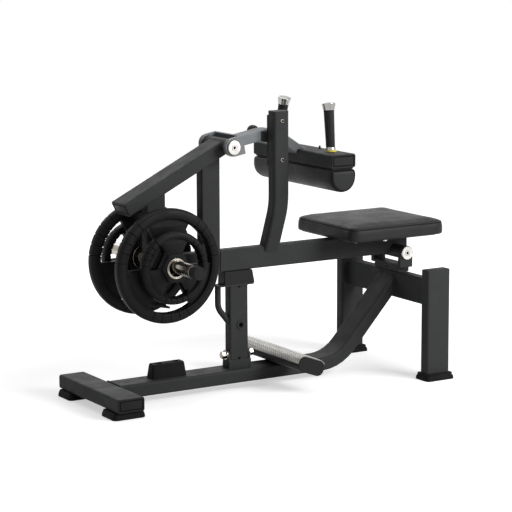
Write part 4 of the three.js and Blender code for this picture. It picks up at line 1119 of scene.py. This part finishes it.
step_across = Vector((math.cos(step_tilt), 0, -math.sin(step_tilt)))
step_up = Vector((math.sin(step_tilt), 0, math.cos(step_tilt)))
outer_line = tread_path(seat_gap + tread_thick)
ring = outer_line + list(reversed(tread_path(seat_gap)))
sheet = bmesh.new()
ring = outline_at(ring, step_at, step_across, step_up)
for row in skinned(sheet, [[p + Y * y for p in ring] for y in (-tread_half, tread_half)]):
    for k in range(len(row) // 2 - 1):
        sheet.faces.new([row[k], row[k + 1], row[-2 - k], row[-1 - k]])
tread = show("footrest_tread_sheet", sheet, "base", tread_metal, stands_for="footrest_tread")
rounded_edges(tread, tread_edge)
lozenges = bmesh.new()
line = spaced([p.to_3d() for p in outer_line], lozenge_pitch / 2)
columns = round(2 * tread_half / lozenge_pitch) - 1
for row, (behind, at, ahead) in enumerate(zip(line, line[1:], line[2:])):
    odd = row % 2
    step = (ahead - behind).normalized()
    along = step_across * step.x + step_up * step.y
    out = Y.cross(along) * -1
    place = step_at + step_across * at.x + step_up * at.y
    lean = lozenge_lean if odd else -lozenge_lean
    long = (Y * math.cos(lean) + along * math.sin(lean)) * lozenge_long / 2
    wide = (along * math.cos(lean) - Y * math.sin(lean)) * lozenge_wide / 2
    for column in range(columns):
        y = (column - (columns - 1) / 2 + lozenge_row_shift * odd - lozenge_shift) * lozenge_pitch
        centre = place + Y * y - out * lozenge_sunk
        foot = (long, wide, -long, -wide)
        levels = ((1, 0), (lozenge_top_share, lozenge_high))
        low, top = skinned(lozenges, [[centre + f * s + out * up for f in foot] for s, up in levels])
        lozenges.faces.new(top)
        lozenges.faces.new(low[::-1])
show("footrest_tread_studs", lozenges, "base", bright_steel)

# Support post: bar handle, eye rings with painted shade in their holes, drain holes as near-black discs
# of painted shade, bolt and nut it folds on
bar = span("post_handle")
post_face = bar[1].x
post_mid = post_face + post_wide / 2
knee = Vector((bar[0].x + grip_bar, 0, grip_knee_z))
foot = Vector((post_face, 0, grip_foot_z))
foot += (foot - knee).normalized() * grip_run_in
path = bent(Vector((knee.x, 0, bar[1].z)), knee, foot, grip_bend)
show("post_handle_shown", tube_shape(path, grip_bar, grip_sides), "support_post", paint)
for end, side in ends:
    eye = Vector((post_mid + eye_off, side * post_half, eye_z))
    way = Y * side
    turned(f"post_eye_{end}", hollow(eye_hole, eye_outer, -sunk, eye_proud), eye, way,
           "support_post", paint, round_off=slight_round)
    # The eye's hole is lined, rimmed and closed in near-black: painted shade inside it.
    if side > 0:
        turned(f"post_eye_back_{end}", disc(eye_hole, *eye_film), eye, way, "support_post", dark)
    else:
        rim = hollow(eye_dark, eye_hole + eye_lap, 0, eye_proud - eye_rim_drop)
        turned(f"post_eye_rim_{end}", rim, eye, way, "support_post", dark)
        sleeve = hollow(sleeve_inner, sleeve_outer, eye_proud - sunk, -2 * post_half)
        turned(f"post_eye_sleeve_{end}", sleeve, eye, way, "support_post", dark)
    # Drain holes: near-black discs, painted shade.
    for word, z in (("top", cap_low.z - drain_under_cap), ("foot", lip_z + drain_over_lip)):
        turned(f"post_drain_{word}_{end}", disc(drain_radius, 0, drain_proud),
               Vector((post_mid, side * post_half, z)), way, "support_post", dark)
for node, side in (("post_pivot_bolt", -1), ("post_pivot_nut", 1)):
    low, high, place = span(node)
    place.x = (low.x if side < 0 else high.x) - side * hinge_bolt_thick
    place.y = 0
    bolt(node + "_shown", place, X * side, "base", look=dark_steel, size=hinge_bolt_size,
         high=hinge_bolt_high)
low, high, place = span("post_pivot_bolt")
turned("post_pivot_rod", disc(hinge_rod, 0, high.x - low.x - 2 * sunk),
       Vector((low.x + sunk, 0, place.z)), X, "base", bright_steel)

# Rack post's two studs, seat bolts and stop bolts
rack_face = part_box("rack_post")[0].y
well_mouth = (stud_well, stud_high - stud_well_slope)
for word, z in rack_studs:
    place = Vector((mid("rack_plate").x, rack_face, z))
    dome = [(stud_radius, -sunk), (stud_radius, soft_round),
            (stud_radius * stud_shoulder_share, stud_high * stud_rise_share),
            (stud_well + stud_well_slope, stud_high), well_mouth]
    shape = turned_shape(bmesh.new(), softened(dome, soft_round), place, -Y, steps=stud_steps)
    # The stud's well is near-black: painted shade inside its socket.
    well = [well_mouth, (stud_well, stud_well_foot), (0, stud_well_foot)]
    turned_shape(shape, well, place, -Y, steps=stud_steps, look=1)
    show(f"rack_stud_{word}", shape, "swing", dark_steel, dark)
for end, side in ends:
    for word, x, y in seat_bolts:
        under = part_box("seat_board" if word == "mid" else "seat_frame")[0].z
        place = Vector((front_face + x, side * y, under))
        bolt(f"seat_bolt_{word}_{end}", place, -Z, "swing", size=seat_bolt_size)
for word, side in (("front", -1), ("rear", 1)):
    place = Vector((stop_mid.x + side * stop_pitch / 2, 0, stop_high.z - stop_deep))
    bolt(f"stop_bolt_{word}", place, Z, "base", look=dark, size=stop_bolt_size)

# Pull pin and its knob
low, high, centre = span("pull_pin")
centre.y = 0
foot, knob = high.y - knob_long, (high.z - low.z) / 2
profile = [(0, low.y), (pin_tip, low.y), (pin_radius, low.y + pin_chamfer),
           (pin_radius, foot - pin_collar_long), (pin_collar, foot - pin_collar_long),
           (pin_collar, foot)]
profile += [(knob - less * MM, foot + rise * MM) for less, rise in knob_profile]
profile += [(knob_dish, high.y), (knob_dish_foot, high.y - knob_dish_deep),
            (0, high.y - knob_dish_deep)]
turned("pull_pin_shown", profile, centre, Y, "pull_pin", paint,
       round_off=knob_round)

# A dark pad on the arm's side in front of the rack plate, painting the shadow of the rack post and
# plate, and a peg on the pad bar
arm_shadow = rounded_polygon([Vector(p) for p in arm_shadow_corners], arm_shadow_round)
slab("arm_painted_shadow", [arm_shadow], -arm_shadow_in, arm_shadow_proud, (front_face, -arm_half, 0), -Y, X, "arm", paint,
     arm_shadow_edge)
bar_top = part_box("pad_crossbeam")[1].z
peg = [(0, -sunk), (peg_foot, -sunk), (peg_foot, peg_foot_high), (peg_radius, peg_foot_high),
       (peg_radius, peg_high), (0, peg_high)]
turned("pad_bar_peg", peg, Vector((front_face + peg_x, peg_y, bar_top)), Z, "arm", dark,
       round_off=slight_round, steps=peg_steps)

# Handles
for end, side in ends:
    lean = math.radians(side * handle_in)
    axis = Vector((math.sin(handle_back) * math.cos(lean), -math.sin(lean),
                   math.cos(handle_back) * math.cos(lean)))
    foot = Vector((mid("pad_crossbeam").x + handle_shift, side * handle_y, bar_top))
    collar = [(0, 0), (collar_radius, 0), (collar_radius, collar_high),
              (grip_radius - sunk, collar_high), (0, collar_high)]
    turned(f"handle_collar_{end}", collar, foot, axis, "arm", chrome, round_off=soft_round)
    band = [(0, band_low), (band_radius, band_low), (band_radius, band_high),
            (collar_radius - sunk, band_high)]
    turned(f"handle_band_{end}", band, foot, axis, "arm", yellow, round_off=soft_round)
    profile = [(0, collar_high - sunk), (grip_radius, collar_high - sunk)]
    run = grip_high - collar_high
    count = round(run / ridge_pitch)
    for k in range(count):
        for share, depth in ridge_profile:
            up = run * k / count + share * ridge_pitch
            around = grip_radius + (grip_radius_top - grip_radius) * up / run
            profile.append((around - depth * ridge_deep, collar_high + up))
    profile += [(grip_radius_top, grip_high), (0, grip_high)]
    turned(f"handle_grip_{end}", profile, foot, axis, "arm", plastic,
           stands_for=f"handle_{end}")
    turned(f"handle_ring_{end}", disc(neck_radius, grip_high - sunk, grip_high + neck_over), foot,
           axis, "arm", dark, round_off=neck_round)
    flare = [(0, grip_high), (flare_foot, grip_high), (flare_neck, grip_high + flare_neck_high),
             (flare_radius, handle_tip - flare_low), (flare_radius, handle_tip - flare_high),
             (flare_top, handle_tip), (0, handle_tip + flare_crown)]
    turned(f"handle_cap_{end}_shown", flare, foot, axis, "arm", chrome,
           round_off=flare_round)
    out = Vector(screw_way).normalized()
    out = (out - axis * out.dot(axis)).normalized()
    place = foot + axis * 0.5 * (grip_high + handle_tip) + out * band_radius
    turned(f"handle_screw_{end}", disc(screw_radius, -screw_in, screw_out), place, out, "arm", dark,
           round_off=fine_round, steps=screw_steps)


# Cushions: remeshed, swelled by cloth under pressure, subdivided, then sewn
def take(piece, mesh):
    piece.modifiers.clear()
    old = piece.data
    piece.data = mesh
    bpy.data.meshes.remove(old)


def relaxed(piece, times):
    piece.modifiers.new("Relax", "SMOOTH").iterations = times


def evened(steps, edges):
    """The points' steps, each averaged with its neighbours' a number of times."""
    for _ in range(swell_passes):
        sums = [step.copy() for step in steps]
        counts = [1] * len(steps)
        for edge in edges:
            for a, b in (edge.vertices, reversed(edge.vertices)):
                sums[a] += steps[b]
                counts[a] += 1
        steps = [total / count for total, count in zip(sums, counts)]
    return steps


def swell(piece, held):
    """Cloth under pressure; it may draw the cover in only a little, and out only so far."""
    rest = [v.co.copy() for v in piece.data.vertices]
    normals = [v.normal.copy() for v in piece.data.vertices]
    pinned = [k for k, at in enumerate(rest) if held(at)]
    piece.vertex_groups.new(name="held").add(pinned, 1.0, "REPLACE")
    cloth = piece.modifiers.new("Cloth", "CLOTH")
    cloth.settings.use_pressure = True
    cloth.settings.uniform_pressure_force = pressure
    cloth.settings.effector_weights.gravity = 0
    cloth.settings.vertex_group_mass = "held"
    cloth.point_cache.frame_start = 1
    cloth.point_cache.frame_end = cloth_frames
    for at in range(1, cloth_frames + 1):
        scene.frame_set(at)
    swelled = baked(piece)
    steps = []
    for vertex, began, out in zip(swelled.vertices, rest, normals):
        step = vertex.co - began
        step -= out * min(0, step.dot(out)) * (1 - inward_share)
        steps.append(step.normalized() * min(step.length, swell_cap))
    for vertex, began, step in zip(swelled.vertices, rest, evened(steps, swelled.edges)):
        vertex.co = began + step
    scene.frame_set(1)
    take(piece, swelled)


def stuffed(node, held, moved=None):
    """A cushion of the CAD's shape; held says which points rest on its board."""
    shape = bmesh.new()
    shape.from_mesh(frame["nodes"][node].data)
    bmesh.ops.remove_doubles(shape, verts=shape.verts, dist=join_distance)
    if moved:
        for vertex in shape.verts:
            vertex.co = moved(vertex.co)
    mesh = bpy.data.meshes.new(node + "_shown")
    shape.to_mesh(mesh)
    shape.free()
    piece = bpy.data.objects.new(node + "_shown", mesh)
    scene.collection.objects.link(piece)
    remesh = piece.modifiers.new("Remesh", "REMESH")
    remesh.mode = "VOXEL"
    remesh.voxel_size = voxel
    relaxed(piece, relax_before)
    take(piece, baked(piece))
    swell(piece, held)
    relaxed(piece, relax_after)
    finer = piece.modifiers.new("Finer", "SUBSURF")
    finer.levels = finer.render_levels = 1
    take(piece, baked(piece))
    piece.vertex_groups.clear()
    piece.data.shade_smooth()
    piece.data.materials.clear()
    piece.data.materials.append(vinyl)
    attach(piece, body_of(node))
    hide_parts(node)
    return piece


def sewn(name, piece, path, body, look):
    """Piping laid in a groove along the closed path, drawn onto the cushion's surface."""
    tree = BVHTree.FromPolygons(
        [v.co for v in piece.data.vertices], [p.vertices for p in piece.data.polygons]
    )
    points = [tree.find_nearest(p)[0] for p in spaced(path, piping_step, closed=True)]
    count = len(points)
    for _ in range(piping_passes):
        points = [(points[k - 1] + points[k] * 2 + points[(k + 1) % count]) / 4 for k in range(count)]
    near = KDTree(count)
    for k, p in enumerate(points):
        near.insert(p, k)
    near.balance()
    normals = [v.normal.copy() for v in piece.data.vertices]
    for vertex, out in zip(piece.data.vertices, normals):
        gap = near.find(vertex.co)[2]
        if gap < seam_reach:
            vertex.co -= out * seam_deep * (1 - (gap / seam_reach) ** 2) ** 2
    shape = tube_shape(points, piping_radius, piping_sides, closed=True)
    show(name, shape, body, look)


seat_low, seat_high, seat_mid = span("seat_cushion")


def tightened(at):
    """A point of the seat, its plan's corners drawn out to a smaller radius."""
    reach = [abs(at[k] - seat_mid[k]) - (seat_high[k] - seat_mid[k] - seat_corner) for k in (0, 1)]
    length = math.hypot(*reach)
    share = 1.0
    if min(reach) > 0 and length > 0:
        u, v = reach[0] / length, reach[1] / length
        in_by = seat_corner - seat_corner_tight
        if seat_corner / max(u, v) * min(u, v) < in_by:
            share = 1 / max(u, v)
        else:
            sum_uv = in_by * (u + v)
            root = sum_uv**2 - 2 * in_by**2 + seat_corner_tight**2
            share = (sum_uv + math.sqrt(root)) / seat_corner
    made = at.copy()
    for k in (0, 1):
        if reach[k] > 0:
            made[k] += math.copysign(reach[k] * (share - 1), at[k] - seat_mid[k])
    made.x += seat_shift
    return made


board_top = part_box("seat_board")[1].z
seat = stuffed("seat_cushion", lambda p: p.z < board_top + held_deep, tightened)
seam = box_outline(seat_high.x - seat_low.x - 2 * seam_in, seat_high.y - seat_low.y - 2 * seam_in,
                   seam_corner)
place = (seat_mid.x + seat_shift, seat_mid.y, seat_high.z - seam_drop)
sewn("seat_piping", seat, outline_at(seam, place, X, Y), "swing", vinyl)

pad_low, pad_high, pad_mid = span("knee_pad")
pad = stuffed("knee_pad", lambda p: p.z > pad_high.z - held_deep)
pad_half = (pad_high.x - pad_low.x) / 2
pad_radius, belly = pad_half - pad_seam_in, pad_low.z + pad_half
for end, side in ends:
    turns = [math.pi * k / pad_seam_steps for k in range(pad_seam_steps + 1)]
    points = [Vector((-pad_radius * math.cos(t), -pad_radius * math.sin(t))) for t in turns]
    top = pad_high.z - belly - pad_seam_in
    points += [Vector((pad_radius, top)), Vector((-pad_radius, top))]
    place = Vector((pad_mid.x, side * (pad_high.y - pad_seam_in), belly))
    # The end piping is drawn near-black, painting the shade along the seams.
    sewn(f"knee_piping_{end}", pad, outline_at(points, place, X, Z), "arm", dark)

# Weld beads
crossbar_back, tube_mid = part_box("front_crossbar")[1].x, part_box("base_tube")[0].z + base_thick / 2
tube_outline = box_outline(base_wide, base_thick, weld_corner)
bead("weld_front", outline_at(tube_outline, (crossbar_back, 0, tube_mid), Y, Z), "base")
rise_outline = box_outline(base_wide, base_thick / math.cos(rise_angle), weld_corner_wide)
bead("weld_rise", outline_at(rise_outline, (bar_low.x, 0, bar_mid.z), Y, Z), "base")
for end, side in ends:
    bar_outline = box_outline(bar_high.x - bar_low.x, bar_high.z - bar_low.z, weld_corner)
    place = (bar_mid.x, side * bar_high.y, bar_mid.z)
    bead(f"weld_leg_{end}", outline_at(bar_outline, place, X, Z), "base")
bead("weld_beam", outline_at(beam_section, (beam_low.x, 0, beam_mid.z), Y, Z), "swing")
pivot = mid("top_pivot_tube")
under = weight_beam_thick / 2 / math.cos(slope_angle)
for node in ("upright", "hanger"):
    low, high, centre = span(node)
    outline = box_outline(high.x - low.x, high.y - low.y, weld_corner_tight)
    path = outline_at(outline, (centre.x, 0, 0), X, Y)
    for point in path:
        point.z = pivot.z + (point.x - pivot.x) * math.tan(slope_angle) - under
    bead(f"weld_{node}", path, "swing")
post_outline = box_outline(post_wide, 2 * post_half, weld_corner_tight)
bead("weld_post", outline_at(post_outline, (post_mid, 0, post_plate_z), X, Y), "support_post")

# Stage: pale floor, white beyond it, soft lamps
bpy.ops.mesh.primitive_plane_add(size=2 * floor_half)
floor = bpy.context.object
floor.name = "floor"
tree = Tree(bpy.data.materials.new("floor"))
spread = tree.add("ShaderNodeVectorMath", {0: tree.place}, operation="LENGTH").outputs["Value"]
strength = tree.span(spread, glow_near, glow_far, glow_level, 1.0)
glow = tree.add("ShaderNodeEmission", {"Color": (1, 1, 1, 1), "Strength": strength})
ground = tree.add("ShaderNodeBsdfDiffuse", {"Color": grey(floor_grey)})
lit = tree.add("ShaderNodeAddShader", {0: ground.outputs[0], 1: glow.outputs[0]})
choice = {0: tree.direct(), 1: ground.outputs[0], 2: lit.outputs[0]}
choice = tree.add("ShaderNodeMixShader", choice).outputs[0]
tree.links.new(choice, tree.nodes["Material Output"].inputs["Surface"])
floor.data.materials.append(tree.owner)

scene.world = bpy.data.worlds.new("studio")
tree = Tree(scene.world)
sky = tree.nodes["Background"].inputs
tree.feed(sky["Color"], (1, 1, 1, 1))
tree.feed(sky["Strength"], tree.span(tree.direct(), 0, 1, world_level, 1))

camera_target = Vector(camera_aim) + X * front_face
for name, (place, size, power) in lamps.items():
    light = bpy.data.lights.new(name, "AREA")
    light.size = size
    light.energy = power
    holder = bpy.data.objects.new(name, light)
    scene.collection.objects.link(holder)
    holder.location = place
    holder.rotation_euler = (camera_target - Vector(place)).to_track_quat("-Z", "Y").to_euler()

turn, rise, roll = (math.radians(a) for a in (camera_turn, camera_rise, camera_roll))
away = Vector((-math.sin(turn) * math.cos(rise), -math.cos(turn) * math.cos(rise), math.sin(rise)))
level_right = (-away).cross(Z).normalized()
level_up = level_right.cross(-away)
right = level_right * math.cos(roll) + level_up * math.sin(roll)
up = level_up * math.cos(roll) - level_right * math.sin(roll)
pose = Matrix((right, up, away)).transposed().to_4x4()
pose.translation = camera_target + away * camera_distance
view = bpy.data.cameras.new("view")
view.sensor_width = sensor_width
view.lens = camera_focal / frame_pixels * sensor_width
camera = bpy.data.objects.new("view", view)
scene.collection.objects.link(camera)
camera.matrix_world = pose
scene.camera = camera
scene.view_settings.view_transform = "Standard"
